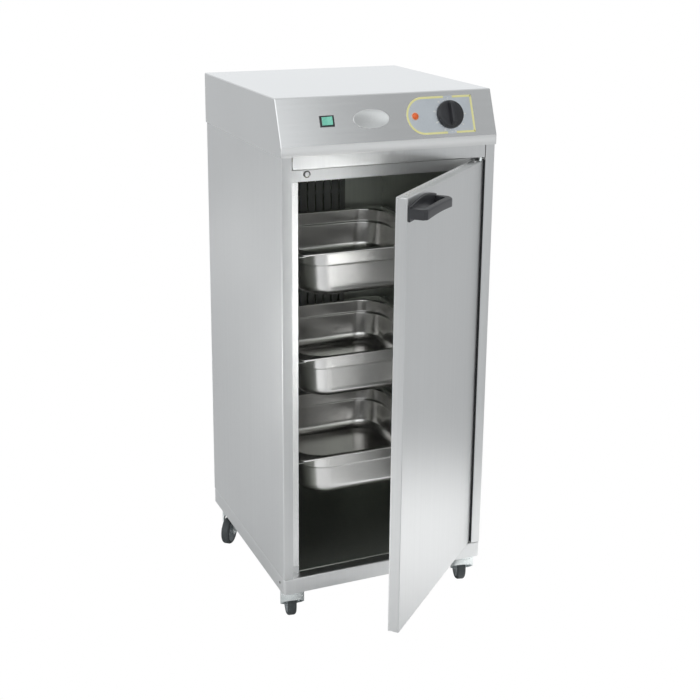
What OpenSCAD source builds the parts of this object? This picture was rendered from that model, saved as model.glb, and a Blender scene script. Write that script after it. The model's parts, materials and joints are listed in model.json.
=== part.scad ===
// Heated hostess trolley on four swivel casters. A folded steel cabinet with an
// insulated chamber carries three gastronorm pans on runners behind one door hung
// at its right. The hood on top holds the switch, the lamp and the temperature knob.
// Millimetres, +Z up, +X to the right as the door is faced, the front towards -Y.
// The origin is on the floor, under the middle of the cabinet.

/* [Cabinet] */
// Height of the side panels that shows between the base band and the hood
body_h = 848; // [780:4:1000]
// Thickness of the folded sheet
sheet = 1.2; // [0.8:0.1:2]
// Width of each front stile
stile_w = 20; // [16:1:30]
// Width of each recessed jamb beside the chamber
jamb_w = 21.5; // [16:0.5:30]
// Setback of the stop frame behind the front face
stop_set = 25; // [24:0.5:32]
// Thickness of the rear wall behind the chamber
rear_wall_t = 33; // [31:1:80]
// Height of the top rail that shows under the hood
rail_h = 25; // [18:1:40]
// Height of the stop rail that shows under the top rail
stop_drop = 26.5; // [20:0.5:40]
// Gap at each end of the top rail
rail_gap = 1.5; // [0.5:0.1:3]
// Width of the flanges at the rear edges of the side panels
rear_flange_w = 15; // [10:1:24]

/* [Base] */
// Height of the base band
base_h = 32; // [28:1:60]
// Thickness of the base sheet
base_sheet = 1.5; // [1:0.1:3]
// Drop of the band below the base plate
base_lip = 2; // [1:0.5:6]
// Width of the flange round the top of the base
base_flange_w = 45; // [42:1:48]
// Height of the two upstands that carry the jambs
jamb_foot_h = 13; // [6:1:24]

/* [Hood] */
// Gap between the hood and the panels it caps
hood_gap = 0.8; // [0.3:0.1:0.9]
// Height of the upright lip of the hood
hood_lip_h = 19; // [12:1:40]
// Rise of the sloping control fascia
slant_rise = 85; // [80:1:110]
// Run of the sloping control fascia
slant_run = 33; // [20:1:60]
// Height of the panels inside the hood
hood_lap = 12; // [8:1:14]
// Number of ventilation slots in the back of the hood
vent_count = 9; // [3:1:12]
// Length of one ventilation slot
vent_l = 26; // [16:1:30]

/* [Door] */
// Thickness of the door
door_t = 21.2; // [18:0.2:22]
// Gap between the door and each stile
door_side_gap = 3.5; // [2:0.1:6]
// Gap over the door
door_top_gap = 6; // [4:0.5:12]
// Gap under the door
door_bottom_gap = 2; // [1.5:0.5:8]
// Angle at which the door stands open
door_angle = 42.3; // [0:0.1:110]
// Inset of the hinge axis from the door's edge and from its front face
hinge_inset = 4.8; // [4.4:0.1:6]
// Diameter of the hinge pins
pin_d = 6; // [4:0.5:6]
// Depth of the skin's folded top and bottom edges
skin_fold = 13; // [12.5:0.5:15]
// Diameter of the screws in the door's top and bottom edges
edge_screw_d = 6; // [4:0.5:7]
// Distance of those screws from the door's side edges
edge_screw_in = 22.5; // [20:0.5:60]
// Depth of those screws behind the door's front face
edge_screw_set = 9; // [7.5:0.5:9]

/* [Door handle] */
// Length of the handle
handle_l = 126; // [100:1:180]
// Projection of the handle from the door
handle_out = 35; // [30:1:50]
// Height of the grip
grip_h = 19; // [14:1:30]
// Thickness of the grip bar
grip_t = 10; // [8:0.5:14]
// Thickness of the shield behind the grip
shield_t = 4; // [3:0.5:6]
// Height of the shield below its arched top
shield_h = 27; // [24:1:40]
// Rise of the arch along the top of the shield
arch_rise = 8; // [4:1:16]
// Distance from the door's top edge down to the middle of the grip
handle_drop = 26; // [22:1:200]
// Gap between the handle's end and the door's free edge
handle_in = 1.5; // [1:0.5:40]
// Diameter of the two handle screws
handle_screw_d = 5; // [3:0.5:6]

/* [Catch] */
// Diameter of the round magnet on the stop rail
magnet_d = 14; // [12:1:16]
// Distance of the magnet from the free stile
magnet_in = 39; // [30:1:60]
// Height of the magnet's centre above the stop rail's lower edge
magnet_up = 13.5; // [10:0.5:14]
// Gap between the magnet and its strike with the door shut
catch_gap = 0.5; // [0.3:0.1:1]

/* [Pans] */
// Width of a pan over its rim; the cabinet's width follows it
pan_w = 325; // [300:1:530]
// Length of a pan over its rim; the cabinet's depth follows it
pan_l = 354; // [300:1:530]
// Gap between a pan's rim and the chamber's side wall
pan_side_gap = 16; // [8:0.5:40]
// Gap between a pan's rim and the air duct
pan_back_gap = 5; // [2:0.5:40]
// Depth of a pan
pan_depth = 95; // [65:5:120]
// Thickness of the pan sheet
pan_t = 1; // [0.8:0.1:1.5]
// Height of the lowest pan's rim above the base
first_rim_up = 225; // [200:1:260]
// Distance from rim to rim
pan_pitch = 211.5; // [180:0.5:230]
// Distance of the pans behind the stop frame
pan_in = 27; // [12:1:60]
// Width of the pan's flat rim
rim_w = 13; // [10:0.5:16]
// Depth of the rim's turned-down edge
rim_lip = 3; // [2.5:0.5:6]
// Corner radius of the rim
rim_r = 12; // [8:1:24]
// Corner radius of a pan's wall
pan_r = 56; // [30:1:60]
// Radius of the bend round a pan's floor
pan_bend = 24; // [10:1:26]
// Depth of the stacking shoulder below the rim
shoulder_drop = 29; // [16:1:30]
// Overlap of each runner under the pan's rim
runner_lap = 8.5; // [5:0.5:8.5]
// Height of the runners' upright flanges
runner_h = 18; // [12:1:30]

/* [Casters] */
// Height from the floor to the base plate
caster_h = 75; // [74:1:90]
// Wheel diameter
wheel_d = 60; // [40:1:60]
// Wheel width
wheel_w = 18; // [16:1:24]
// Distance of the axle behind the swivel axis
trail = 26; // [25:1:32]
// Thickness of the rubber tyre
tyre_t = 6; // [4:0.5:8]
// Inset of the swivel axes from the sides of the cabinet
caster_in_x = 27; // [25:1:60]
// Inset of the front swivel axes from the front
caster_in_front = 25; // [25:1:80]
// Inset of the rear swivel axes from the rear
caster_in_rear = 54; // [25:1:80]
// Diameter of the swivel head
head_d = 48; // [36:1:48]
// Diameter of the stud on which a caster swivels
stud_d = 10; // [8:1:12]
// Diameter of the wheel axle
axle_d = 8; // [6:1:9]
// Turn of the front left caster
turn_front_left = 169; // [-180:1:180]
// Turn of the front right caster
turn_front_right = 165; // [-180:1:180]
// Turn of the rear left caster
turn_rear_left = -39; // [-180:1:180]
// Turn of the rear right caster
turn_rear_right = 20; // [-180:1:180]

/* [Controls] */
// Height of the row of controls up the fascia
control_up = 44; // [40:1:46]
// Width of the switch bezel
switch_w = 28; // [26:1:32]
// Height of the switch bezel
switch_h = 21; // [19:1:26]
// Place of the switch from the middle of the fascia
switch_x = -126; // [-180:1:-100]
// Tilt of the rocker each way from level
rocker_tilt = 9; // [6:1:12]
// Width of the oval plate
badge_w = 68; // [50:1:80]
// Height of the oval plate
badge_h = 39.5; // [30:0.5:50]
// Place of the oval plate from the middle of the fascia
badge_x = -37; // [-50:1:-30]
// Diameter of the lamp
lamp_d = 15; // [10:1:18]
// Place of the lamp from the middle of the fascia
lamp_x = 53; // [50:1:60]
// Diameter of the knob
knob_d = 55; // [40:1:56]
// Height of the knob's disc
knob_disc_h = 9; // [7:0.5:14]
// Height of the knob's grip over the disc
knob_grip_h = 10; // [8:0.5:14]
// Place of the knob from the middle of the fascia
knob_x = 126.5; // [122:0.5:134]
// Place of the dial plate's round end from the middle of the fascia
dial_x0 = 35; // [30:1:40]
// Length of the dial plate
dial_l = 142; // [138:1:150]
// Height of the dial plate
dial_h = 73; // [66:1:76]
// Width of the border round the dial plate
dial_border = 3; // [2:0.5:5]

/* [Air duct] */
// Width of the slotted duct cover
duct_w = 160; // [130:2:200]
// Depth of the duct
duct_d = 18; // [17:0.5:18.5]
// Length of one slot
slot_l = 34; // [20:1:38]
// Width of one slot
slot_w = 3; // [2:0.5:8]
// Distance between the columns of slots
slot_pitch_x = 18.7; // [14:0.1:24]
// Distance between the rows of slots
slot_pitch_z = 44; // [42:1:60]
// Height of the fan above the base
fan_up = 390; // [340:5:430]
// Diameter of the fan's impeller
fan_d = 96; // [80:2:104]
// Diameter of the heating element's tube
heater_d = 8; // [6:0.5:9]
// Half the width of the heating element's loop
heater_r = 64; // [60:1:70]
// Depth of the element's tails below the fan
heater_below = 150; // [80:5:220]
// Height of the element's bend above the fan
heater_above = 60; // [10:5:100]

/* [Mains entry] */
// Distance of the cable gland from the right side
gland_in = 70; // [50:1:150]
// Height of the cable gland above the base
gland_up = 60; // [40:1:120]
// Diameter of the gland's thread
gland_thread_d = 16; // [12:1:20]
// Diameter of the gland's bore
gland_bore_d = 8; // [5:0.5:10]

/* [Hidden] */
$fn = 48;

steel = "lightsteelblue";
bright = "gainsboro";
dark = "dimgray";

// Clearances that hold wherever one piece runs in or passes another
run_gap = 0.05;
pass_gap = 0.2;
face_gap = 0.3;

// Levels
base_z0 = caster_h - base_lip;
base_z1 = base_z0 + base_h;
hood_z0 = base_z1 + body_h;
slant_z0 = hood_z0 + hood_lip_h;
hood_z1 = slant_z0 + slant_rise;
panel_z1 = hood_z0 + hood_lap;
rail_z0 = hood_z0 - rail_h;
stop_z0 = rail_z0 - stop_drop;
door_z0 = base_z1 + door_bottom_gap;
door_z1 = rail_z0 - door_top_gap;

// Planes from side to side and from front to back
side_x = pan_w / 2 + pan_side_gap + jamb_w + stile_w;
chamber_d = pan_in + pan_l + pan_back_gap + duct_d;
body_d = stop_set + chamber_d + rear_wall_t;
stile_x = side_x - stile_w;
wall_x = stile_x - jamb_w;
rail_x = stile_x - rail_gap;
door_x = stile_x - door_side_gap;
front_y = -body_d / 2;
back_y = body_d / 2;
stop_y = front_y + stop_set;
rear_y = stop_y + chamber_d;
door_y1 = front_y + door_t;
rear_panel_y = back_y - 2 * sheet;

// Hood
hood_over = sheet + hood_gap;
hood_x = side_x + hood_over;
hood_y0 = front_y - hood_over;
hood_y1 = back_y + hood_over;
slant_l = sqrt(slant_rise * slant_rise + slant_run * slant_run);
slant_angle = atan2(slant_rise, slant_run);
hood_screw_d = 4;
hood_screw_head_h = 2.4;
hood_screw_x = side_x - rear_flange_w / 2;
hood_screw_z = hood_z0 + hood_lap / 2;

// Door
hinge_x = door_x - hinge_inset;
hinge_y = front_y + hinge_inset;
hinge_plate_t = 3;
hinge_plate_reach = 24;
hinge_block_l = 18;
hinge_block_h = 14;
hinge_block_t = hinge_inset + pin_d / 2 + 4 - sheet;
handle_x0 = -door_x + handle_in;
handle_z = door_z1 - handle_drop;
handle_leg = 13;
handle_screw_head_d = 9;
handle_screw_head_h = 1;
edge_screw_head_h = 0.8;
edge_screw_l = 12;
edge_screw_shank_d = edge_screw_d / 2;

// Catch
magnet_x = -stile_x + magnet_in;
magnet_z = stop_z0 + magnet_up;
strike_t = 0.8;
strike_d = magnet_d - 2;
magnet_y0 = door_y1 + strike_t + catch_gap;
magnet_body_d = magnet_d - 2;
magnet_body_l = 9;

// Pans
pan_y0 = stop_y + pan_in;
pan_y = pan_y0 + pan_l / 2;
rims = [for (i = [0:2]) base_z1 + first_rim_up + i * pan_pitch];
runner_top = rim_lip + face_gap;
runner_x = pan_w / 2 - runner_lap;

// Duct, fan and element
duct_y0 = rear_y - duct_d;
duct_z0 = base_z1 + 30;
duct_z1 = stop_z0 - 16;
fan_z = base_z1 + fan_up;
shaft_d = 6;
motor_d = 72;
motor_window = motor_d + 24;
motor_l = 26;
motor_flange_t = 2;
duct_mid_y = duct_y0 + sheet + (duct_d - sheet) / 2;
heater_z0 = fan_z - heater_below;
heater_z1 = fan_z + heater_above;
heater_tail = 10;

// Casters: place, turn
casters = [
    [-side_x + caster_in_x, front_y + caster_in_front, turn_front_left],
    [side_x - caster_in_x, front_y + caster_in_front, turn_front_right],
    [-side_x + caster_in_x, back_y - caster_in_rear, turn_rear_left],
    [side_x - caster_in_x, back_y - caster_in_rear, turn_rear_right]
];
cup_h = 6;
head_z1 = caster_h - cup_h - face_gap;
fork_t = 2;
fork_top_t = 3;
head_z0 = head_z1 - fork_top_t;
stud_head_h = 3;
stud_nut_h = 8;
boss_x = wheel_w / 2 + 2;
ear_x = boss_x + 1;
skirt_h = 8;
ear_r = axle_d / 2 + 4;
axle_z = wheel_d / 2;
axle_head_h = 3.5;
axle_head_d = axle_d + 3;
hub_r = wheel_d / 2 - tyre_t;

// Controls, in the plane of the fascia
spindle_d = 6;
lamp_body_d = lamp_d - 5;
plate_t = 0.5;
border_t = 0.2;
bezel_t = 1.6;
switch_body_w = switch_w - 4;
switch_body_h = switch_h - 4;
rocker_w = switch_w - 8.4;
rocker_h = switch_h - 5.8;
rocker_pivot_z = -1.2;
rocker_pin_d = 2.4;
well_gap = 1;

// Mains entry
gland_x = side_x - gland_in;
gland_z = base_z1 + gland_up;
gland_nut_d = gland_thread_d * 1.5;
gland_nut_h = 5;
gland_tail = 15;
gland_pocket = 14;

// ---- helpers ----

// Box between two opposite corners
module slab(lo, hi) {
    translate(lo) cube(hi - lo);
}

// The same piece on the other side
module mirrored() {
    mirror([1, 0, 0]) children();
}

// Round bar along Y
module bar_y(d, y0, y1) {
    translate([0, y1, 0]) rotate([90, 0, 0]) cylinder(d = d, h = y1 - y0);
}

// Frame of the control fascia: X right, Y up the slope, Z out of the sheet
module on_fascia(x, up) {
    translate([0, hood_y0, slant_z0]) rotate([slant_angle, 0, 0])
        translate([x, up, 0]) children();
}

// The door's pieces are drawn shut and swung open on the hinge axis
module on_door() {
    translate([hinge_x, hinge_y, 0]) rotate([0, 0, door_angle])
        translate([-hinge_x, -hinge_y, 0]) children();
}

// Frame of one caster: trailing towards -Y, its axle along X
module on_caster(i) {
    translate([casters[i][0], casters[i][1], 0]) rotate([0, 0, casters[i][2]]) children();
}

// ---- base and panels ----

module base_frame() {
    color(steel) {
        difference() {
            slab([-side_x, front_y, base_z0], [side_x, back_y, base_z1]);
            slab([-side_x + base_sheet, front_y + base_sheet, base_z0 - 1],
                 [side_x - base_sheet, back_y - base_sheet, caster_h]);
            slab([-side_x + base_sheet, front_y + base_sheet, caster_h + base_sheet],
                 [side_x - base_sheet, back_y - base_sheet, base_z1 - base_sheet]);
            slab([-side_x + base_flange_w, front_y + base_flange_w, base_z1 - base_sheet - 1],
                 [side_x - base_flange_w, back_y - base_flange_w, base_z1 + 1]);
            for (c = casters)
                translate([c[0], c[1], caster_h - 1])
                    cylinder(d = stud_d + 2 * pass_gap, h = base_sheet + 2);
            translate([hinge_x, hinge_y, base_z1 - base_sheet - 1])
                cylinder(d = pin_d + 2, h = base_sheet + 2);
        }
        for (s = [-1, 1])
            translate([s * (stile_x + wall_x) / 2, stop_y + sheet / 2, base_z1 + jamb_foot_h / 2])
                cube([jamb_w, sheet, jamb_foot_h], center = true);
    }
}

module side_panel() {
    difference() {
        union() {
            slab([-side_x, front_y, base_z1], [-side_x + sheet, back_y, panel_z1]);
            slab([-side_x, front_y, base_z1], [-stile_x, front_y + sheet, panel_z1]);
            slab([-side_x, back_y - sheet, base_z1],
                 [-side_x + rear_flange_w, back_y, panel_z1]);
        }
        translate([-hood_screw_x, 0, hood_screw_z])
            bar_y(hood_screw_d + 2 * pass_gap, back_y - 2 * sheet, back_y + 1);
    }
}

module left_side_panel() {
    color(steel) side_panel();
}

module right_side_panel() {
    color(steel) mirrored() side_panel();
}

module rear_panel() {
    color(steel) difference() {
        slab([-side_x + sheet, rear_panel_y, base_z1], [side_x - sheet, rear_panel_y + sheet, panel_z1]);
        for (s = [-1, 1])
            translate([s * hood_screw_x, 0, hood_screw_z])
                bar_y(hood_screw_d + 2 * pass_gap, rear_panel_y - 1, back_y);
        translate([gland_x, 0, gland_z])
            bar_y(gland_thread_d + 2 * pass_gap, rear_panel_y - 1, back_y);
    }
}

module top_rail() {
    color(steel) difference() {
        union() {
            slab([-rail_x, front_y, rail_z0], [rail_x, front_y + sheet, panel_z1]);
            slab([-rail_x, front_y, rail_z0], [rail_x, stop_y, rail_z0 + sheet]);
        }
        translate([hinge_x, hinge_y, rail_z0 - 1]) cylinder(d = pin_d + 2, h = sheet + 2);
    }
}

module stop_rail() {
    color(steel) difference() {
        union() {
            slab([-stile_x, stop_y, stop_z0], [stile_x, stop_y + sheet, rail_z0 + hood_lap]);
            slab([-wall_x, stop_y, stop_z0], [wall_x, stop_y + sheet + 12, stop_z0 + sheet]);
        }
        translate([magnet_x, 0, magnet_z])
            bar_y(magnet_body_d + 2 * pass_gap, stop_y - 1, stop_y + sheet + 1);
    }
}

// Face of the stop frame with the return that closes the stile
module jamb() {
    slab([-stile_x, stop_y, base_z1 + jamb_foot_h], [-wall_x, stop_y + sheet, stop_z0]);
    slab([-stile_x - sheet, front_y + sheet, base_z1], [-stile_x, stop_y + sheet, panel_z1]);
}

module left_jamb() {
    color(bright) jamb();
}

module right_jamb() {
    color(bright) mirrored() jamb();
}

// ---- chamber ----

module side_liner() {
    slab([-wall_x - sheet, stop_y + sheet, base_z1], [-wall_x, rear_y + sheet, stop_z0 + sheet]);
}

module left_liner() {
    color(dark) side_liner();
}

module right_liner() {
    color(dark) mirrored() side_liner();
}

module rear_liner() {
    color(dark) difference() {
        slab([-wall_x, rear_y, base_z1], [wall_x, rear_y + sheet, stop_z0 + sheet]);
        translate([0, 0, fan_z]) bar_y(shaft_d + 8, rear_y - 1, rear_y + sheet + 1);
        for (s = [-1, 1])
            translate([s * heater_r, 0, heater_z0])
                bar_y(heater_d + 2 * pass_gap, rear_y - 1, rear_y + sheet + 1);
    }
}

module liner_roof() {
    color(dark) slab([-wall_x - sheet, stop_y + sheet, stop_z0 + sheet],
                     [wall_x + sheet, rear_y + sheet, stop_z0 + 2 * sheet]);
}

module liner_floor() {
    color(dark) slab([-wall_x, stop_y + sheet, base_z1], [wall_x, rear_y, base_z1 + sheet]);
}

module duct_cover() {
    columns = floor((duct_w / 2 - slot_w) / slot_pitch_x);
    rows = floor((duct_z1 - duct_z0 - 20) / slot_pitch_z);
    color(dark) difference() {
        slab([-duct_w / 2, duct_y0, duct_z0], [duct_w / 2, rear_y, duct_z1]);
        slab([-duct_w / 2 + sheet, duct_y0 + sheet, duct_z0 + sheet],
             [duct_w / 2 - sheet, rear_y + 1, duct_z1 - sheet]);
        for (r = [1:rows], c = [1:columns], s = [-1, 1])
            translate([s * (c - 0.5) * slot_pitch_x - slot_w / 2, duct_y0 - 1,
                       duct_z1 - r * slot_pitch_z])
                cube([slot_w, sheet + 2, slot_l]);
    }
}

// One angle on the left wall, its flat under the pan's rim
module runner(rim_z) {
    slab([-wall_x, pan_y0, rim_z - runner_top - runner_h],
         [-wall_x + sheet, pan_y0 + pan_l, rim_z - runner_top]);
    slab([-wall_x, pan_y0, rim_z - runner_top - sheet],
         [-runner_x, pan_y0 + pan_l, rim_z - runner_top]);
}

module pan_runners() {
    color(dark) for (z = rims) {
        runner(z);
        mirrored() runner(z);
    }
}

// Points round a rectangle with round corners, at one height
function ring(w, l, r, z, steps = 8) = [
    for (c = [0:3], k = [0:steps])
        let (a = 90 * (c + k / steps), sx = (c == 0 || c == 3) ? 1 : -1, sy = c < 2 ? 1 : -1)
            [sx * (w / 2 - r) + r * cos(a), sy * (l / 2 - r) + r * sin(a), z]
];

// One skin of a pan from its rim to its floor; grow is the sheet outside the inner skin
function pan_skin(grow) =
    let (w = pan_w - 2 * rim_w, l = pan_l - 2 * rim_w, roll = 2, fillet = 4, step = 3, draft = 7,
         low = -pan_depth + pan_t - grow, bottom_w = w - 2 * step - draft,
         bottom_l = l - 2 * step - draft)
    concat(
        [ring(pan_w - 2 * grow, pan_l - 2 * grow, rim_r - grow, -rim_lip)],
        [for (a = [0:45:90])
            let (in = roll - (roll - grow) * cos(a))
                ring(pan_w - 2 * in, pan_l - 2 * in, rim_r - in, -roll + (roll - grow) * sin(a))],
        [ring(w + 2 * fillet + grow, l + 2 * fillet + grow, pan_r + fillet, -grow)],
        [ring(w + 2 * grow, l + 2 * grow, pan_r + grow, -fillet - grow)],
        [ring(w + 2 * grow, l + 2 * grow, pan_r + grow, -shoulder_drop + step - grow)],
        [ring(w - 2 * step + 2 * grow, l - 2 * step + 2 * grow, pan_r + grow, -shoulder_drop - grow)],
        [for (a = [0:15:90])
            let (in = pan_bend * (1 - cos(a)))
                ring(bottom_w + 2 * grow - 2 * in, bottom_l + 2 * grow - 2 * in, pan_r - in / 2,
                     low + (pan_bend + grow) * (1 - sin(a)))]
    );

// A pan: outer skin down, inner skin up, closed over the rim's edge and the two floors
module pan(rim_z) {
    outer = pan_skin(pan_t);
    inner = pan_skin(0);
    rings = concat(outer, [for (i = [len(inner) - 1:-1:0]) inner[i]]);
    n = len(rings[0]);
    m = len(rings);
    half = len(outer);
    points = [for (r = rings, p = r) p];
    walls = [for (j = [0:m - 1], i = [0:n - 1])
        if (j != half - 1)
            let (a = j * n + i, b = j * n + (i + 1) % n, c = ((j + 1) % m) * n + (i + 1) % n,
                 d = ((j + 1) % m) * n + i)
                [a, b, c, d]];
    floors = [[for (i = [0:n - 1]) (half - 1) * n + i], [for (i = [n - 1:-1:0]) half * n + i]];
    color(bright) translate([0, pan_y, rim_z]) polyhedron(points, concat(walls, floors));
}

module pan_top() {
    pan(rims[2]);
}

module pan_middle() {
    pan(rims[1]);
}

module pan_bottom() {
    pan(rims[0]);
}

module wall_insulation() {
    color("khaki") {
        for (s = [0, 1])
            mirror([s, 0, 0])
                slab([-side_x + sheet, stop_y + sheet, base_z1],
                     [-wall_x - sheet, rear_y + sheet, stop_z0 + sheet]);
        difference() {
            slab([-side_x + sheet, rear_y + sheet, base_z1], [side_x - sheet, rear_panel_y, stop_z0 + sheet]);
            slab([-motor_window / 2, rear_y, fan_z - motor_window / 2],
                 [motor_window / 2, back_y, fan_z + motor_window / 2]);
            for (s = [-1, 1])
                translate([s * heater_r, 0, heater_z0])
                    bar_y(heater_d + 2 * pass_gap, rear_y, rear_y + sheet + heater_tail + 1);
            translate([gland_x, 0, gland_z]) bar_y(gland_nut_d + 4, rear_panel_y - gland_nut_h - gland_pocket, back_y);
        }
        difference() {
            slab([-side_x + sheet, stop_y + sheet, stop_z0 + 2 * sheet],
                 [side_x - sheet, rear_panel_y, panel_z1 - 10]);
            translate([magnet_x, 0, magnet_z])
                bar_y(magnet_body_d + 2, stop_y, stop_y + sheet + magnet_body_l + 1);
        }
    }
}

// ---- fan and heater ----

module fan_motor() {
    color("darkgray") translate([0, 0, fan_z]) difference() {
        union() {
            bar_y(motor_d + 14, rear_y + sheet, rear_y + sheet + motor_flange_t);
            bar_y(motor_d, rear_y + sheet, rear_y + sheet + motor_l);
        }
        bar_y(shaft_d + 2 * run_gap, rear_y, rear_y + sheet + motor_l - 4);
    }
}

module fan_impeller() {
    blades = 12;
    hub_d = 18;
    disc_y = rear_y - 3.5;
    blade_y = duct_y0 + sheet + 2.5;
    color("silver") translate([0, 0, fan_z]) {
        bar_y(shaft_d, blade_y, rear_y + sheet + motor_l - 5);
        bar_y(hub_d, blade_y, disc_y);
        bar_y(fan_d, disc_y - 1.2, disc_y);
        for (i = [0:blades - 1])
            rotate([0, i * 360 / blades, 0])
                slab([hub_d / 2 - 2, blade_y, -0.6], [fan_d / 2 - 2, disc_y - 0.6, 0.6]);
    }
}

module heating_element() {
    color("gray") {
        for (s = [-1, 1])
            translate([s * heater_r, 0, 0]) {
                translate([0, duct_mid_y, heater_z0]) cylinder(d = heater_d, h = heater_z1 - heater_z0);
                translate([0, duct_mid_y, heater_z0]) sphere(d = heater_d);
                translate([0, 0, heater_z0]) bar_y(heater_d, duct_mid_y, rear_y + sheet + heater_tail);
            }
        translate([0, duct_mid_y, heater_z1]) rotate([90, 0, 0])
            rotate_extrude(angle = 180) translate([heater_r, 0]) circle(d = heater_d);
    }
}

// ---- hood ----

// Outline of the hood seen from its left side; t is how far inside the sheet it lies
module hood_outline(t) {
    lean = t * tan(slant_angle / 2);
    corner = t * tan((90 - slant_angle) / 2);
    polygon([
        [hood_y0 + t, hood_z0 - (t > 0 ? 1 : 0)],
        [hood_y0 + t, slant_z0 + corner],
        [hood_y0 + slant_run + lean, hood_z1 - t],
        [hood_y1 - t, hood_z1 - t],
        [hood_y1 - t, hood_z0 - (t > 0 ? 1 : 0)]
    ]);
}

// The outline drawn out across the hood
module hood_block(t) {
    translate([-hood_x + t, 0, 0]) rotate([90, 0, 90])
        linear_extrude(2 * (hood_x - t)) hood_outline(t);
}

module hood() {
    color(steel) difference() {
        hood_block(0);
        hood_block(sheet);
        on_fascia(switch_x, control_up)
            cube([switch_body_w + 2 * pass_gap, switch_body_h + 2 * pass_gap, 6], center = true);
        on_fascia(lamp_x, control_up)
            translate([0, 0, -3]) cylinder(d = lamp_body_d + 2 * pass_gap, h = 6);
        on_fascia(knob_x, control_up)
            translate([0, 0, -3]) cylinder(d = spindle_d + 4, h = 6);
        for (s = [-1, 1])
            translate([s * hood_screw_x, 0, hood_screw_z])
                bar_y(hood_screw_d + 2 * pass_gap, back_y, hood_y1 + 1);
        for (i = [0:vent_count - 1])
            translate([(i - (vent_count - 1) / 2) * (vent_l + 8), 0, hood_z1 - 40])
                slab([-vent_l / 2, back_y, -3], [vent_l / 2, hood_y1 + 1, 3]);
    }
}

module hood_screws() {
    color(bright) for (s = [-1, 1])
        translate([s * hood_screw_x, 0, hood_screw_z]) {
            bar_y(hood_screw_d, rear_panel_y - 3, hood_y1);
            bar_y(2 * hood_screw_d, hood_y1, hood_y1 + hood_screw_head_h);
        }
}

// ---- controls ----

module thermostat() {
    body_l = 40;
    color("whitesmoke") on_fascia(knob_x, control_up) difference() {
        union() {
            translate([0, 0, -sheet - 12]) cube([body_l, body_l - 4, 24], center = true);
            translate([0, 0, -sheet - 0.01]) cylinder(d = spindle_d + 3, h = sheet);
        }
        translate([0, 0, -sheet - 20]) cylinder(d = spindle_d + 2 * run_gap, h = 30);
    }
}

module knob_spindle() {
    color(bright) on_fascia(knob_x, control_up)
        translate([0, 0, -sheet - 19]) cylinder(d = spindle_d, h = 19 + sheet + plate_t + knob_disc_h - 2);
}

module control_knob() {
    foot = plate_t + border_t + face_gap;
    top = foot + knob_disc_h;
    r = knob_d / 2;
    color([0.1, 0.1, 0.11]) on_fascia(knob_x, control_up) difference() {
        union() {
            rotate_extrude()
                polygon([[0, foot], [r - 1.5, foot], [r, foot + 1.5], [r - 2, top - 2], [r - 4, top],
                         [0, top]]);
            intersection() {
                translate([-knob_d / 10, -r, top - 1]) cube([knob_d / 5, knob_d, knob_grip_h + 1]);
                rotate_extrude()
                    polygon([[0, top - 1], [r - 3.8, top - 1], [r - 5, top + knob_grip_h - 3],
                             [r - 8, top + knob_grip_h], [0, top + knob_grip_h]]);
            }
        }
        cylinder(d = spindle_d + 2 * run_gap, h = plate_t + knob_disc_h - 2);
    }
}

module switch_housing() {
    color([0.12, 0.12, 0.13]) on_fascia(switch_x, control_up) difference() {
        union() {
            translate([-switch_w / 2, -switch_h / 2, 0]) cube([switch_w, switch_h, bezel_t]);
            translate([-switch_body_w / 2, -switch_body_h / 2, -18])
                cube([switch_body_w, switch_body_h, 18.5]);
        }
        translate([-rocker_w / 2 - well_gap, -rocker_h / 2 - pass_gap, -5])
            cube([rocker_w + 2 * well_gap, rocker_h + 2 * pass_gap, 10]);
        translate([0, 0, rocker_pivot_z])
            bar_y(rocker_pin_d + 2 * run_gap, -switch_body_h / 2 - 1, switch_body_h / 2 + 1);
    }
}

// The rocker with its left end pressed; its faces meet in a shallow valley
module switch_rocker() {
    e = rocker_w / 2;
    valley = 3.4;
    edge = valley + e * tan(rocker_tilt);
    pin_y = switch_body_h / 2 - 0.1;
    color([0.35, 0.75, 0.62]) on_fascia(switch_x, control_up)
        translate([0, 0, rocker_pivot_z]) rotate([0, -rocker_tilt, 0]) {
            bar_y(rocker_pin_d, -pin_y, pin_y);
            translate([0, rocker_h / 2, -rocker_pivot_z]) rotate([90, 0, 0])
                linear_extrude(rocker_h)
                    polygon([[-e, edge], [0, valley], [e, edge], [e, 0.5], [e / 2, -3], [-e / 2, -3],
                             [-e, 0.5]]);
        }
}

module indicator_lamp() {
    r = lamp_d / 2;
    dome = 5;
    color([0.95, 0.45, 0.12]) on_fascia(lamp_x, control_up) {
        translate([0, 0, -14]) cylinder(d = lamp_body_d, h = 15);
        translate([0, 0, plate_t + 0.1]) rotate_extrude()
            intersection() {
                translate([0, dome - r]) circle(r);
                square([r - 0.6, dome]);
            }
    }
}

// Outline of the dial plate: round at its left end, square at its right; d draws it in
module dial_outline(d) {
    r = dial_h / 2;
    translate([dial_x0 + r, 0]) circle(r - d, $fn = 96);
    translate([dial_x0 + r, -r + d]) square([dial_l - r - d, dial_h - 2 * d]);
}

module dial_plate() {
    color([0.75, 0.79, 0.85]) on_fascia(0, control_up) difference() {
        union() {
            linear_extrude(plate_t) dial_outline(0);
            linear_extrude(plate_t + border_t) difference() {
                dial_outline(0);
                dial_outline(dial_border);
            }
        }
        translate([lamp_x, 0, -1]) cylinder(d = lamp_body_d + 2 * pass_gap, h = 3);
        translate([knob_x, 0, -1]) cylinder(d = spindle_d + 4, h = 3);
    }
}

module badge_plate() {
    color(bright) on_fascia(badge_x, control_up)
        linear_extrude(1) polygon([for (i = [0:71]) [badge_w / 2 * cos(5 * i), badge_h / 2 * sin(5 * i)]]);
}

// ---- mains entry ----

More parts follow.
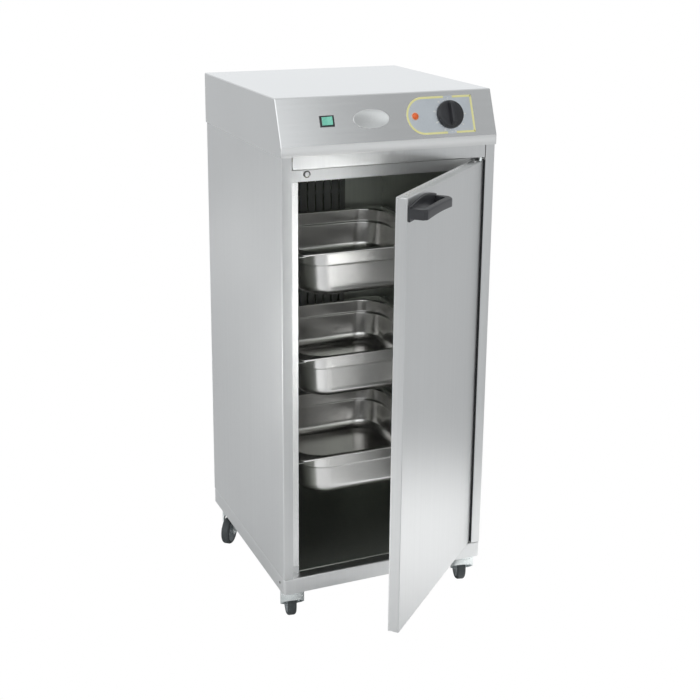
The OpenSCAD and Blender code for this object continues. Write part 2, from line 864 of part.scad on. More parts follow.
module cable_gland() {
    color([0.15, 0.15, 0.16]) translate([gland_x, 0, gland_z]) difference() {
        union() {
            bar_y(gland_thread_d, rear_panel_y - gland_nut_h - 2, back_y + 4);
            translate([0, rear_panel_y, 0]) rotate([90, 0, 0]) cylinder(d = gland_nut_d, h = gland_nut_h, $fn = 6);
            translate([0, rear_panel_y + sheet + 6, 0]) rotate([90, 0, 0])
                cylinder(d = gland_nut_d, h = 6, $fn = 6);
            bar_y(gland_thread_d + 3, rear_panel_y + sheet + 5, back_y + gland_tail);
        }
        bar_y(gland_bore_d, rear_panel_y - gland_nut_h - 3, back_y + gland_tail + 1);
    }
}

// ---- catch and hinges ----

module catch_magnet() {
    color(dark) translate([magnet_x, 0, magnet_z]) {
        bar_y(magnet_d, magnet_y0, stop_y);
        bar_y(magnet_body_d, stop_y - 1, stop_y + sheet + magnet_body_l);
    }
}

module catch_strike() {
    color(bright) on_door() translate([magnet_x, 0, magnet_z - 1])
        bar_y(strike_d, door_y1, door_y1 + strike_t);
}

module hinge_plate(z0, x1) {
    difference() {
        slab([hinge_x - hinge_plate_reach, front_y + base_sheet, z0], [x1, stop_y, z0 + hinge_plate_t]);
        translate([hinge_x, hinge_y, z0 - 1])
            cylinder(d = pin_d + 2 * run_gap, h = hinge_plate_t + 2);
    }
}

module hinge_plates() {
    color(bright) {
        hinge_plate(rail_z0 + sheet, rail_x);
        hinge_plate(base_z1 - base_sheet - hinge_plate_t, stile_x);
    }
}

// Block inside the door's corner with the pin that stands out of it
module hinge_pin() {
    slab([hinge_x - hinge_block_l + hinge_inset, front_y + sheet, -sheet - hinge_block_h],
         [door_x - sheet, front_y + sheet + hinge_block_t, -sheet]);
}

module hinge_pins() {
    top_end = rail_z0 + sheet + hinge_plate_t + 1;
    low_end = base_z1 - base_sheet - hinge_plate_t - 1;
    color(bright) on_door() {
        translate([0, 0, door_z1]) hinge_pin();
        translate([0, 0, door_z0]) mirror([0, 0, 1]) hinge_pin();
        translate([hinge_x, hinge_y, door_z1 - sheet - 1]) cylinder(d = pin_d, h = top_end - door_z1 + sheet + 1);
        translate([hinge_x, hinge_y, low_end]) cylinder(d = pin_d, h = door_z0 + sheet + 1 - low_end);
    }
}

// ---- door ----

// What passes through the door's sheets: pins, handle screws and edge screws
module door_holes(gap) {
    translate([hinge_x, hinge_y, door_z0 - 1]) cylinder(d = pin_d + 2 * gap, h = sheet + 2);
    translate([hinge_x, hinge_y, door_z1 - sheet - 1]) cylinder(d = pin_d + 2 * gap, h = sheet + 2);
    for (x = handle_screw_places())
        translate([x, 0, handle_z]) bar_y(handle_screw_d + 2 * gap, front_y - 1, door_y1 + 1);
    for (s = [-1, 1]) {
        translate([s * (door_x - edge_screw_in), front_y + edge_screw_set, door_z1 - edge_screw_l])
            cylinder(d = edge_screw_shank_d + 2 * gap, h = edge_screw_l + 1);
        translate([s * (door_x - edge_screw_in), front_y + edge_screw_set, door_z0 - 1])
            cylinder(d = edge_screw_shank_d + 2 * gap, h = edge_screw_l + 1);
    }
}

function handle_screw_places() = [handle_x0 + handle_leg / 2, handle_x0 + handle_l - handle_leg / 2];

module door_skin() {
    color(steel) on_door() difference() {
        slab([-door_x, front_y, door_z0], [door_x, door_y1 - sheet, door_z1]);
        slab([-door_x + sheet, front_y + sheet, door_z0 + sheet],
             [door_x - sheet, door_y1 + 1, door_z1 - sheet]);
        slab([-door_x + sheet, front_y + skin_fold, door_z0 - 1],
             [door_x - sheet, door_y1 + 1, door_z1 + 1]);
        door_holes(pass_gap);
    }
}

module door_liner() {
    color(steel) on_door() difference() {
        union() {
            slab([-door_x, door_y1 - sheet, door_z0], [door_x, door_y1, door_z1]);
            slab([-door_x + sheet, front_y + skin_fold, door_z1 - sheet],
                 [door_x - sheet, door_y1, door_z1]);
            slab([-door_x + sheet, front_y + skin_fold, door_z0],
                 [door_x - sheet, door_y1, door_z0 + sheet]);
        }
        door_holes(pass_gap);
    }
}

module door_insulation() {
    color("khaki") on_door() difference() {
        slab([-door_x + sheet, front_y + sheet, door_z0 + sheet],
             [door_x - sheet, door_y1 - sheet, door_z1 - sheet]);
        translate([0, 0, door_z1]) hinge_pin();
        translate([0, 0, door_z0]) mirror([0, 0, 1]) hinge_pin();
        door_holes(pass_gap);
    }
}

module edge_screws() {
    color(bright) on_door() for (s = [-1, 1]) {
        translate([s * (door_x - edge_screw_in), front_y + edge_screw_set, 0]) {
            translate([0, 0, door_z1]) cylinder(d = edge_screw_d, h = edge_screw_head_h);
            translate([0, 0, door_z1 - edge_screw_l + 1])
                cylinder(d = edge_screw_shank_d, h = edge_screw_l);
            translate([0, 0, door_z0 - edge_screw_head_h])
                cylinder(d = edge_screw_d, h = edge_screw_head_h);
            translate([0, 0, door_z0 - 0.2])
                cylinder(d = edge_screw_shank_d, h = edge_screw_l - 1);
        }
    }
}

// Shield with its arched top, seen from the front, its left end at x = 0
module shield_outline() {
    low = -shield_h / 2 - grip_h / 8;
    square_top = low + shield_h;
    polygon(concat(
        [[2, low], [0, low + 3]],
        [for (i = [0:12]) [handle_l * i / 12, square_top + arch_rise * sin(180 * i / 12)]],
        [[handle_l, low + 3], [handle_l - 2, low]]
    ));
}

// Grip and its two legs, seen from above
module grip_outline() {
    slot_t = handle_out - shield_t - grip_t;
    slot_x0 = handle_leg + slot_t / 2;
    difference() {
        union() {
            translate([0, -handle_out + 6]) square([handle_l, handle_out - 6]);
            translate([6, -handle_out]) square([handle_l - 12, 7]);
            for (x = [6, handle_l - 6])
                translate([x, -handle_out + 6]) circle(6);
        }
        translate([slot_x0, -shield_t - slot_t]) square([handle_l - 2 * slot_x0, slot_t]);
        for (x = [slot_x0, handle_l - slot_x0])
            translate([x, -shield_t - slot_t / 2]) circle(d = slot_t);
    }
}

module door_handle() {
    color([0.13, 0.13, 0.14]) on_door() translate([handle_x0, front_y, handle_z]) difference() {
        union() {
            rotate([90, 0, 0]) linear_extrude(shield_t) shield_outline();
            translate([0, 0, -grip_h / 2]) linear_extrude(grip_h) grip_outline();
        }
        for (x = [handle_leg / 2, handle_l - handle_leg / 2])
            translate([x, 0, 0]) bar_y(handle_screw_d + 2 * run_gap, -18, 1);
    }
}

module handle_screws() {
    color(bright) on_door() for (x = handle_screw_places())
        translate([x, 0, handle_z]) {
            bar_y(handle_screw_d, front_y - 16, door_y1 + 0.2);
            bar_y(handle_screw_head_d, door_y1, door_y1 + handle_screw_head_h);
        }
}

// ---- casters ----

// Studs, bearing cups and nuts of the four casters
module caster_studs() {
    color(bright) for (c = casters)
        translate([c[0], c[1], 0]) {
            translate([0, 0, caster_h - cup_h]) cylinder(d = head_d, h = cup_h);
            translate([0, 0, head_z0 - face_gap - 0.1])
                cylinder(d = stud_d, h = caster_h + stud_nut_h + 6 - head_z0);
            translate([0, 0, head_z0 - face_gap - stud_head_h])
                cylinder(d = stud_d + 6, h = stud_head_h);
            translate([0, 0, caster_h + base_sheet]) cylinder(d = 2 * stud_d, h = stud_nut_h, $fn = 6);
        }
}

// Side of the fork: its front edge slants from the skirt down to the ear at the axle
module fork_side() {
    h = head_d / 2;
    polygon([[h + 1, head_z1], [-h, head_z1], [-trail - ear_r, axle_z + 3], [-trail, axle_z],
             [-trail + 5 / 8 * ear_r, axle_z - 3 / 4 * ear_r], [h + 1, head_z0 - skirt_h]]);
    translate([-trail, axle_z]) circle(ear_r);
}

// Plan of the fork: round at its head, with straight ears behind; in draws it in
module fork_plan(in) {
    ear = ear_x + fork_t - in;
    back = trail + ear_r + 1 + in;
    circle(head_d / 2 - in);
    translate([-ear, -back]) square([2 * ear, back]);
}

module fork(i) {
    h = head_d / 2;
    foot = axle_z - ear_r - 1;
    color(bright) on_caster(i) difference() {
        union() {
            translate([0, 0, head_z0]) cylinder(d = head_d, h = fork_top_t);
            intersection() {
                difference() {
                    translate([0, 0, foot]) linear_extrude(head_z0 + 1 - foot) fork_plan(0);
                    translate([0, 0, foot - 1]) linear_extrude(head_z0 + 1 - foot) fork_plan(fork_t);
                }
                translate([-h - 1, 0, 0]) rotate([90, 0, 90]) linear_extrude(head_d + 2) fork_side();
            }
        }
        translate([0, 0, head_z0 - 1]) cylinder(d = stud_d + 2 * run_gap, h = fork_top_t + 2);
        translate([-ear_x - fork_t - 1, -trail, axle_z]) rotate([0, 90, 0])
            cylinder(d = axle_d + 2 * run_gap, h = 2 * (ear_x + fork_t + 1));
    }
}

module axle(i) {
    reach = ear_x + fork_t;
    color("silver") on_caster(i) translate([0, -trail, axle_z]) rotate([0, 90, 0]) {
        translate([0, 0, -reach - 1]) cylinder(d = axle_d, h = 2 * reach + 2);
        translate([0, 0, -reach - axle_head_h]) cylinder(d = axle_head_d, h = axle_head_h, $fn = 6);
        translate([0, 0, reach]) cylinder(d = axle_head_d, h = axle_head_h, $fn = 6);
    }
}

module wheel(i) {
    bore_r = axle_d / 2 + run_gap;
    boss_r = axle_d / 2 + 4;
    half = wheel_w / 2;
    color("darkgray") on_caster(i) translate([0, -trail, axle_z]) rotate([0, 90, 0])
        rotate_extrude($fn = 72)
            polygon([[bore_r, -boss_x], [boss_r, -boss_x], [boss_r + 1.5, -half + 3], [hub_r - 3, -half + 3],
                     [hub_r - 1.5, -half + 1], [hub_r - run_gap, -half + 1], [hub_r - run_gap, half - 1],
                     [hub_r - 1.5, half - 1], [hub_r - 3, half - 3], [boss_r + 1.5, half - 3],
                     [boss_r, boss_x], [bore_r, boss_x]]);
}

module tyre(i) {
    half = wheel_w / 2;
    r = wheel_d / 2;
    color([0.25, 0.27, 0.27]) on_caster(i) translate([0, -trail, axle_z]) rotate([0, 90, 0])
        rotate_extrude($fn = 72)
            polygon([[hub_r, -half], [r - 3, -half], [r - 1, -half + 1.5], [r, -half + 4], [r, half - 4],
                     [r - 1, half - 1.5], [r - 3, half], [hub_r, half]]);
}

base_frame();
left_side_panel();
right_side_panel();
rear_panel();
top_rail();
stop_rail();
left_jamb();
right_jamb();
left_liner();
right_liner();
rear_liner();
liner_roof();
liner_floor();
duct_cover();
pan_runners();
pan_top();
pan_middle();
pan_bottom();
hood();
hood_screws();
wall_insulation();
heating_element();
fan_motor();
fan_impeller();
thermostat();
knob_spindle();
control_knob();
switch_housing();
switch_rocker();
indicator_lamp();
dial_plate();
badge_plate();
cable_gland();
catch_magnet();
hinge_plates();
door_skin();
door_liner();
door_insulation();
hinge_pins();
door_handle();
handle_screws();
edge_screws();
catch_strike();
caster_studs();
fork(0);  // fork_front_left
axle(0);  // axle_front_left
wheel(0);  // wheel_front_left
tyre(0);  // tyre_front_left
fork(1);  // fork_front_right
axle(1);  // axle_front_right
wheel(1);  // wheel_front_right
tyre(1);  // tyre_front_right
fork(2);  // fork_rear_left
axle(2);  // axle_rear_left
wheel(2);  // wheel_rear_left
tyre(2);  // tyre_rear_left
fork(3);  // fork_rear_right
axle(3);  // axle_rear_right
wheel(3);  // wheel_rear_right
tyre(3);  // tyre_rear_right
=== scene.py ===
"""The looks of the hostess trolley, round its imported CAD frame. Metres, +Z up, front towards -Y."""
import json
import math

import bmesh
import bpy
from mathutils import Matrix, Vector


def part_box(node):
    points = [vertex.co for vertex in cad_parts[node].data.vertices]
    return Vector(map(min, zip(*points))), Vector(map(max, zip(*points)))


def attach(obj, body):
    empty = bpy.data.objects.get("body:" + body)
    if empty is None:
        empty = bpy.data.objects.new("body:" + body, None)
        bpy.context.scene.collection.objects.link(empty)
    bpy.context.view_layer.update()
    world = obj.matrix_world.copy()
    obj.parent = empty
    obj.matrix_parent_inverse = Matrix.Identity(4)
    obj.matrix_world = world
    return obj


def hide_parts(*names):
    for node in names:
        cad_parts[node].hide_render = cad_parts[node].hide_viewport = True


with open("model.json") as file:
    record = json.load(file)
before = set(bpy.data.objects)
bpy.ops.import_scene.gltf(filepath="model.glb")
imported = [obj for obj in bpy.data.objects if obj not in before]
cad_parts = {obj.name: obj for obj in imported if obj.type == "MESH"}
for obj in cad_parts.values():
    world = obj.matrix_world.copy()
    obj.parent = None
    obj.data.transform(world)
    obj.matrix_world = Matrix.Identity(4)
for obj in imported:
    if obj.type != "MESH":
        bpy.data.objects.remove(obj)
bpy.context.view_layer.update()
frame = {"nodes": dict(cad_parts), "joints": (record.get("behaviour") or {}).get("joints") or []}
nodes = frame["nodes"]
joints = {j["name"]: j for j in frame["joints"]}
MM = 0.001

# ---- camera: the photograph's viewpoint; its frame is 700 pixels wide and high ----

FRAME_PX = 700
FOCAL_PX = 1250.4
CENTRE_PX = (345, 264)
CAMERA_AT = (-0.9847, -2.3230, 1.3602)
CAMERA_TURN = math.radians(-23.067)
CAMERA_TILT = math.radians(15.18)
CAMERA_ROLL = math.radians(0.458)
SENSOR = 36


def make_camera():
    """The photograph's camera, with a small lens shift to the picture's centre."""
    right = Vector((math.cos(CAMERA_TURN), math.sin(CAMERA_TURN), 0))
    back = Vector((math.sin(CAMERA_TURN) * math.cos(CAMERA_TILT),
                   -math.cos(CAMERA_TURN) * math.cos(CAMERA_TILT), math.sin(CAMERA_TILT)))
    up = back.cross(right)
    c, s = math.cos(CAMERA_ROLL), math.sin(CAMERA_ROLL)
    rows = Matrix((c * right + s * up, c * up - s * right, back))
    data = bpy.data.cameras.new("camera")
    data.sensor_width = SENSOR
    data.lens = FOCAL_PX * SENSOR / FRAME_PX
    data.shift_x = (FRAME_PX / 2 - CENTRE_PX[0]) / FRAME_PX
    data.shift_y = (CENTRE_PX[1] - FRAME_PX / 2) / FRAME_PX
    data.clip_start, data.clip_end = 0.05, 30
    camera = bpy.data.objects.new("camera", data)
    camera.matrix_world = Matrix.Translation(CAMERA_AT) @ rows.transposed().to_4x4()
    bpy.context.scene.collection.objects.link(camera)
    bpy.context.scene.camera = camera


# ---- materials ----

class Nodes:
    """Short-hand for building one material's node tree."""

    def __init__(self, name):
        self.material = bpy.data.materials.new(name)
        self.material.use_nodes = True
        self.tree = self.material.node_tree
        self.shader = self.tree.nodes["Principled BSDF"]
        self.place = self.tree.nodes.new("ShaderNodeTexCoord").outputs["Object"]

    def link(self, a, b):
        self.tree.links.new(a, b)

    def set(self, **values):
        for name, value in values.items():
            self.shader.inputs[name.replace("_", " ")].default_value = value

    def noise(self, scale, detail, rough):
        """Noise over the object's own place; scale is per metre along X, Y and Z."""
        mapping = self.tree.nodes.new("ShaderNodeMapping")
        mapping.inputs["Scale"].default_value = scale
        self.link(self.place, mapping.inputs["Vector"])
        noise = self.tree.nodes.new("ShaderNodeTexNoise")
        noise.inputs["Scale"].default_value = 1
        noise.inputs["Detail"].default_value = detail
        noise.inputs["Roughness"].default_value = rough
        self.link(mapping.outputs[0], noise.inputs["Vector"])
        return noise.outputs["Fac"]

    def ramp(self, value, low, high, start=0.3, end=0.7):
        """A colour or a grey between low and high as value goes from start to end."""
        ramp = self.tree.nodes.new("ShaderNodeValToRGB")
        first, last = ramp.color_ramp.elements
        first.position, last.position = start, end
        first.color, last.color = colour(low), colour(high)
        self.link(value, ramp.inputs[0])
        return ramp.outputs[0]

    def mix(self, a, b, amount=0.5):
        mix = self.tree.nodes.new("ShaderNodeMix")
        mix.data_type = "RGBA"
        mix.inputs[0].default_value = amount
        self.link(a, mix.inputs[6])
        self.link(b, mix.inputs[7])
        return mix.outputs[2]

    def bump(self, height, strength, distance):
        bump = self.tree.nodes.new("ShaderNodeBump")
        bump.inputs["Strength"].default_value = strength
        bump.inputs["Distance"].default_value = distance
        self.link(height, bump.inputs["Height"])
        self.link(bump.outputs[0], self.shader.inputs["Normal"])


def colour(value):
    """A grey or a colour as the four numbers of a socket."""
    if isinstance(value, (int, float)):
        return (value, value, value, 1)
    return (*value, 1)


def srgb(r, g, b):
    """A colour written as 8-bit sRGB, in the shader's linear units."""
    return tuple(((v / 255 + 0.055) / 1.055) ** 2.4 if v > 10 else v / 255 / 12.92 for v in (r, g, b))


# Depth of the fine texture in every material.
GRAIN_DEPTH = 0.2 * MM


def ends(tone, spread):
    """The darker and the lighter end of a tone."""
    return tuple(c * (1 - spread) for c in tone), tuple(min(1, c * (1 + spread)) for c in tone)


def brushed(name, tone, grain="z", rough=(0.26, 0.36), spread=0.05, bump=0.06):
    """Brushed stainless steel: fine scratches along the grain, slow clouds of tone and gloss."""
    n = Nodes(name)
    along = "xyz".index(grain)
    across_scratches, along_scratches, along_bands, band_width = 2600, 14, 1.2, 14
    scale = [across_scratches] * 3
    scale[along] = along_scratches
    lines = n.noise(scale, 2, 0.6)
    broad = [v / band_width for v in scale]
    broad[along] = along_bands
    bands = n.noise(broad, 3, 0.5)
    clouds = n.noise((3, 3, 3), 2, 0.5)
    low, high = ends(tone, spread)
    streaks = n.mix(n.ramp(lines, low, high, 0.25, 0.75), n.ramp(bands, low, high, 0.3, 0.7), 0.45)
    tint = n.mix(streaks, n.ramp(clouds, low, high, 0.35, 0.65), 0.35)
    n.link(tint, n.shader.inputs["Base Color"])
    gloss = n.mix(n.ramp(lines, *rough, 0.2, 0.8), n.ramp(clouds, *rough, 0.3, 0.7), 0.5)
    n.link(gloss, n.shader.inputs["Roughness"])
    n.set(Metallic=1.0)
    n.bump(lines, bump, GRAIN_DEPTH)
    return n.material


def moulded(name, tone, rough=(0.35, 0.5), grain=900, bump=0.08, spread=0.12):
    """Moulded plastic or rubber with a fine cast texture and a little handling wear."""
    n = Nodes(name)
    cells = n.noise((grain, grain, grain), 4, 0.6)
    wear = n.noise((35, 35, 35), 3, 0.6)
    low, high = ends(tone, spread)
    n.link(n.ramp(wear, low, high, 0.3, 0.7), n.shader.inputs["Base Color"])
    n.link(n.mix(n.ramp(cells, *rough), n.ramp(wear, *rough), 0.5), n.shader.inputs["Roughness"])
    n.bump(cells, bump, GRAIN_DEPTH)
    return n.material


def metal(name, tone, rough=(0.3, 0.45), grain=260, bump=0.05, spread=0.08):
    """Plated, cast or dull metal with spots of tone."""
    n = Nodes(name)
    spots = n.noise((grain, grain, grain), 4, 0.6)
    clouds = n.noise((22, 22, 22), 3, 0.5)
    low, high = ends(tone, spread)
    n.link(n.mix(n.ramp(spots, low, high), n.ramp(clouds, low, high), 0.5), n.shader.inputs["Base Color"])
    n.link(n.mix(n.ramp(spots, *rough), n.ramp(clouds, *rough), 0.5), n.shader.inputs["Roughness"])
    n.set(Metallic=1.0)
    n.bump(spots, bump, GRAIN_DEPTH)
    return n.material


def lens(name, tone, glow):
    """Translucent coloured plastic over a lamp."""
    n = Nodes(name)
    ribs = n.noise((500, 500, 500), 2, 0.5)
    low, high = tuple(c * 0.86 for c in tone), tuple(min(1, c * 1.08) for c in tone)
    n.link(n.ramp(ribs, low, high), n.shader.inputs["Base Color"])
    n.link(n.ramp(ribs, 0.12, 0.22), n.shader.inputs["Roughness"])
    n.set(Emission_Color=colour(tone), Emission_Strength=glow, Coat_Weight=0.6)
    n.bump(ribs, 0.05, GRAIN_DEPTH)
    return n.material


# Every finish, and below it the CAD nodes that wear it.
STEEL = (0.72, 0.725, 0.72)
mats = {
    "panel": brushed("steel_panel", STEEL, "z"),
    "hood": brushed("steel_hood", (0.76, 0.765, 0.76), "x", (0.12, 0.19)),
    "lip": brushed("steel_lip", (0.79, 0.79, 0.78), "x", (0.34, 0.42)),
    "door": brushed("steel_door", STEEL, "z"),
    # Painted light: the jambs wear the panels' steel made lighter, so that the doorway's sides look lit.
    "jamb": brushed("steel_jamb_painted_light", (0.92, 0.92, 0.91), "z", (0.2, 0.3)),
    # Painted light: the door liner wears the door's steel made lighter, so that the pans mirror a brighter
    # door.
    "liner": brushed("steel_liner_painted_light", (0.88, 0.88, 0.87), "z", (0.22, 0.32)),
    "pan": brushed("steel_pan", (0.9, 0.89, 0.87), "x", (0.2, 0.3), 0.04, 0.03),
    # Painted shade: the chamber's liners wear the steel made darker, for the shade inside the chamber.
    "chamber": brushed("steel_chamber_painted_shade", (0.52, 0.54, 0.5), "z", (0.38, 0.5), 0.1),
    "duct": brushed("steel_duct", (0.17, 0.175, 0.165), "z", (0.4, 0.55), 0.1),
    "runner": brushed("steel_runner", (0.5, 0.51, 0.49), "y", (0.3, 0.42)),
    "zinc": metal("zinc", (0.84, 0.88, 0.87), (0.2, 0.32)),
    "screw": metal("screw_steel", (0.75, 0.75, 0.74), (0.2, 0.3)),
    "wool": moulded("mineral_wool", (0.55, 0.5, 0.3), (0.9, 1.0), 400, 0.6, 0.25),
    "element": metal("element_steel", (0.12, 0.11, 0.1), (0.45, 0.6)),
    "motor": metal("motor_steel", (0.3, 0.31, 0.32), (0.4, 0.5)),
    "cast": metal("cast_aluminium", (0.6, 0.61, 0.62), (0.35, 0.5), 500, 0.2),
    "white": moulded("white_plastic", (0.75, 0.75, 0.72)),
    "black": moulded("black_plastic", (0.022, 0.023, 0.026), (0.34, 0.48), 1200, 0.1, 0.25),
    "handle": moulded("handle_plastic", (0.03, 0.031, 0.034), (0.26, 0.4), 1200, 0.08, 0.25),
    "green": lens("green_lens", srgb(120, 205, 180), 0.1),
    "orange": lens("orange_lens", srgb(225, 95, 20), 0.12),
    "lamp_rim": moulded("lamp_rim", srgb(235, 205, 180), (0.2, 0.3)),
    "magnet": metal("magnet_grey", (0.2, 0.2, 0.19), (0.35, 0.5)),
    "pole": metal("magnet_pole", (0.8, 0.8, 0.79), (0.25, 0.4)),
    "foil": metal("dial_foil", (0.64, 0.68, 0.71), (0.32, 0.42), 300, 0.02, 0.05),
    "yellow": moulded("border_print", srgb(238, 233, 165), (0.35, 0.45), 1500, 0.02, 0.03),
    "ink": moulded("white_print", srgb(245, 245, 240), (0.4, 0.5), 1500, 0.02, 0.02),
    "badge": metal("badge_plate", (0.7, 0.71, 0.7), (0.28, 0.36), 300, 0.02, 0.05),
    "hub": moulded("wheel_plastic", srgb(150, 156, 158), (0.35, 0.5)),
    "tyre": moulded("tyre_rubber", srgb(62, 67, 68), (0.5, 0.65), 700, 0.15),
}

CAD_LOOKS = {
    "panel": ["base_frame", "left_side_panel", "right_side_panel", "rear_panel", "top_rail", "stop_rail"],
    "hood": ["hood"],
    "door": ["door_skin"],
    "liner": ["door_liner"],
    "jamb": ["left_jamb", "right_jamb"],
    "pan": ["pan_top", "pan_middle", "pan_bottom"],
    "chamber": ["left_liner", "right_liner", "rear_liner", "liner_roof", "liner_floor"],
    "duct": ["duct_cover"],
    "runner": ["pan_runners"],
    "zinc": ["hinge_plates", "hinge_pins", "caster_studs"],
    "screw": ["hood_screws", "handle_screws", "edge_screws", "catch_strike", "knob_spindle"],
    "wool": ["wall_insulation", "door_insulation"],
    "element": ["heating_element"],
    "motor": ["fan_motor"],
    "cast": ["fan_impeller"],
    "white": ["thermostat"],
    "black": ["control_knob", "switch_housing", "cable_gland"],
    "handle": ["door_handle"],
    "green": ["switch_rocker"],
    "orange": ["indicator_lamp"],
    "foil": ["dial_plate"],
    "badge": ["badge_plate"],
    "magnet": ["catch_magnet"],
}
CORNERS = ["front_left", "front_right", "rear_left", "rear_right"]
for corner in CORNERS:
    CAD_LOOKS["zinc"] += ["fork_" + corner, "axle_" + corner]
    CAD_LOOKS.setdefault("hub", []).append("wheel_" + corner)
    CAD_LOOKS.setdefault("tyre", []).append("tyre_" + corner)

# CAD nodes that show in the scene as they are, with the rounding of their edges.
SOFTENED = [
    (["fork_" + corner for corner in CORNERS], 0.6 * MM),
    (["axle_" + corner for corner in CORNERS], 0.5 * MM),
    (["hinge_plates", "hinge_pins", "caster_studs", "stop_rail", "left_jamb", "right_jamb"], 0.4 * MM),
    (["hood_screws", "handle_screws", "edge_screws", "cable_gland"], 0.3 * MM),
]


def soften(obj, width, segments=2, angle=30):
    """Rounds an object's sharp edges with a modifier."""
    m = obj.modifiers.new("round", "BEVEL")
    m.width = width
    m.segments = segments
    m.limit_method = "ANGLE"
    m.angle_limit = math.radians(angle)
    m.use_clamp_overlap = True
    m.harden_normals = True


def smooth(obj, angle):
    """Smooth shading that stays sharp where faces meet at more than the angle, in degrees."""
    obj.data.shade_smooth()
    obj.data.set_sharp_from_angle(angle=math.radians(angle))


def dress_cad():
    """Gives every CAD node its material, and rounds the edges of those that show."""
    for look, names in CAD_LOOKS.items():
        for name in names:
            data = nodes[name].data
            data.materials.clear()
            data.materials.append(mats[look])
    for names, width in SOFTENED:
        for name in names:
            nodes[name].modifiers.new("weld", "WELD").merge_threshold = 0.01 * MM
            soften(nodes[name], width)


# ---- mesh helpers ----

def piece(name, points, faces, look, body, slot, angle=35):
    """A new mesh piece that rides on a body."""
    mesh = bpy.data.meshes.new(name)
    mesh.from_pydata([tuple(p) for p in points], [], faces)
    mesh.validate()
    bm = bmesh.new()
    bm.from_mesh(mesh)
    bmesh.ops.recalc_face_normals(bm, faces=bm.faces)
    bm.to_mesh(mesh)
    bm.free()
    mesh.materials.append(mats[look])
    obj = bpy.data.objects.new(name, mesh)
    bpy.context.scene.collection.objects.link(obj)
    smooth(obj, angle)
    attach(obj, body)
    return obj


def loft(rings, caps=True):
    """Points and faces of a skin over closed rings that all have as many points."""
    count = len(rings[0])
    points = [p for ring in rings for p in ring]
    faces = []
    for j in range(len(rings) - 1):
        for i in range(count):
            a, b = j * count + i, j * count + (i + 1) % count
            faces.append((a, b, b + count, a + count))
    if caps:
        faces.append(tuple(range(count)))
        faces.append(tuple(range(len(points) - count, len(points))))
    return points, faces


def join(*parts):
    """Points and faces of several shapes as one."""
    points, faces = [], []
    for more, these in parts:
        start = len(points)
        points += more
        faces += [tuple(i + start for i in f) for f in these]
    return points, faces


def folded(path, sheet, radius, steps=5):
    """Outline of a folded sheet seen on edge; path is its outer face, with the sheet on its left."""
    path = [complex(*p) for p in path]
    outer, inner = [], []

    def add(p, normal):
        outer.append(p)
        inner.append(p + normal * sheet)

    first = (path[1] - path[0]) / abs(path[1] - path[0])
    add(path[0], first * 1j)
    for a, b, c in zip(path, path[1:], path[2:]):
        u, v = (b - a) / abs(b - a), (c - b) / abs(c - b)
        turn = math.atan2((v / u).imag, (v / u).real)
        side = 1 if turn > 0 else -1
        bend = radius if side > 0 else max(radius - sheet, 0.1 * MM)
        cut = bend * math.tan(abs(turn) / 2)
        centre = b - u * cut + u * 1j * side * bend
        for i in range(steps + 1):
            spoke = -u * 1j * side * complex(math.cos(turn * i / steps), math.sin(turn * i / steps))
            add(centre + spoke * bend, -spoke * side)
    last = (path[-1] - path[-2]) / abs(path[-1] - path[-2])
    add(path[-1], last * 1j)
    return [(p.real, p.imag) for p in outer + inner[::-1]]


def extruded(outline, start, end, place):
    """Points and faces of an outline drawn from start to end; place(u, v, w) gives the point."""
    return loft([[place(u, v, w) for u, v in outline] for w in (start, end)])


def shell(name, points, faces, sheet, radius, look, body, slot):
    """A sheet-metal cover: its outer faces, rounded at their folds and thickened inwards."""
    obj = piece(name, points, faces, look, body, slot, 30)
    soften(obj, radius, 4)
    m = obj.modifiers.new("sheet", "SOLIDIFY")
    m.thickness = sheet
    m.offset = -1
    obj.modifiers.new("flat", "WEIGHTED_NORMAL").weight = 100
    return obj


# ---- cabinet ----

SHEET = 1.2 * MM
FOLD = 2.4 * MM
# Open line between the side panels and the base band, and the panels' flange at the back.
SEAM = 0.8 * MM
REAR_FLANGE = 15 * MM
# The fascia's frame: the knob's place, the way out of the sheet and the way up the slope.
KNOB = Vector(joints["knob_turn"]["pos_m"])
OUT = Vector(joints["knob_turn"]["axis"])
if OUT.y > 0:
    OUT = -OUT
UP = Vector((0, OUT.z, -OUT.y))


def side_panels():
    """Each side panel as one folded sheet: front stile, side and rear flange."""
    for side, name in ((-1, "left_side_panel"), (1, "right_side_panel")):
        lo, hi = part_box(name)
        outer = lo.x if side < 0 else hi.x
        stile = hi.x if side < 0 else lo.x
        flange = outer - side * REAR_FLANGE
        path = [(stile, lo.y), (outer, lo.y), (outer, hi.y), (flange, hi.y)]
        if side < 0:
            path = path[::-1]
        shape = extruded(folded(path, SHEET, FOLD), lo.z + SEAM, hi.z, lambda u, v, w: (u, v, w))
        obj = piece(name + "_sheet", *shape, "panel", "cabinet", "steel_panel")
        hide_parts(name)


def top_rail():
    """The rail over the door, a folded angle."""
    lo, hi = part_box("top_rail")
    path = [(lo.y, hi.z), (lo.y, lo.z), (hi.y, lo.z)]
    shape = extruded(folded(path, SHEET, FOLD), lo.x, hi.x, lambda u, v, w: (w, u, v))
    obj = piece("top_rail_sheet", *shape, "panel", "cabinet", "steel_panel")
    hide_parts("top_rail")


def hood_outline():
    """The hood from its right side: lip, fascia, top and back, from its CAD box and the knob's axis."""
    lo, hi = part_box("hood")
    run_per_rise = UP.y / UP.z
    slant_z = KNOB.z - (KNOB.y - lo.y) / run_per_rise
    slant_end = lo.y + (hi.z - slant_z) * run_per_rise
    return [(lo.y, lo.z), (lo.y, slant_z), (slant_end, hi.z), (hi.y, hi.z), (hi.y, lo.z)]


# The row of slots in the hood's back.
VENTS, VENT_STEP = 9, 34 * MM
VENT_W, VENT_H, VENT_DOWN = 26 * MM, 6 * MM, 40 * MM


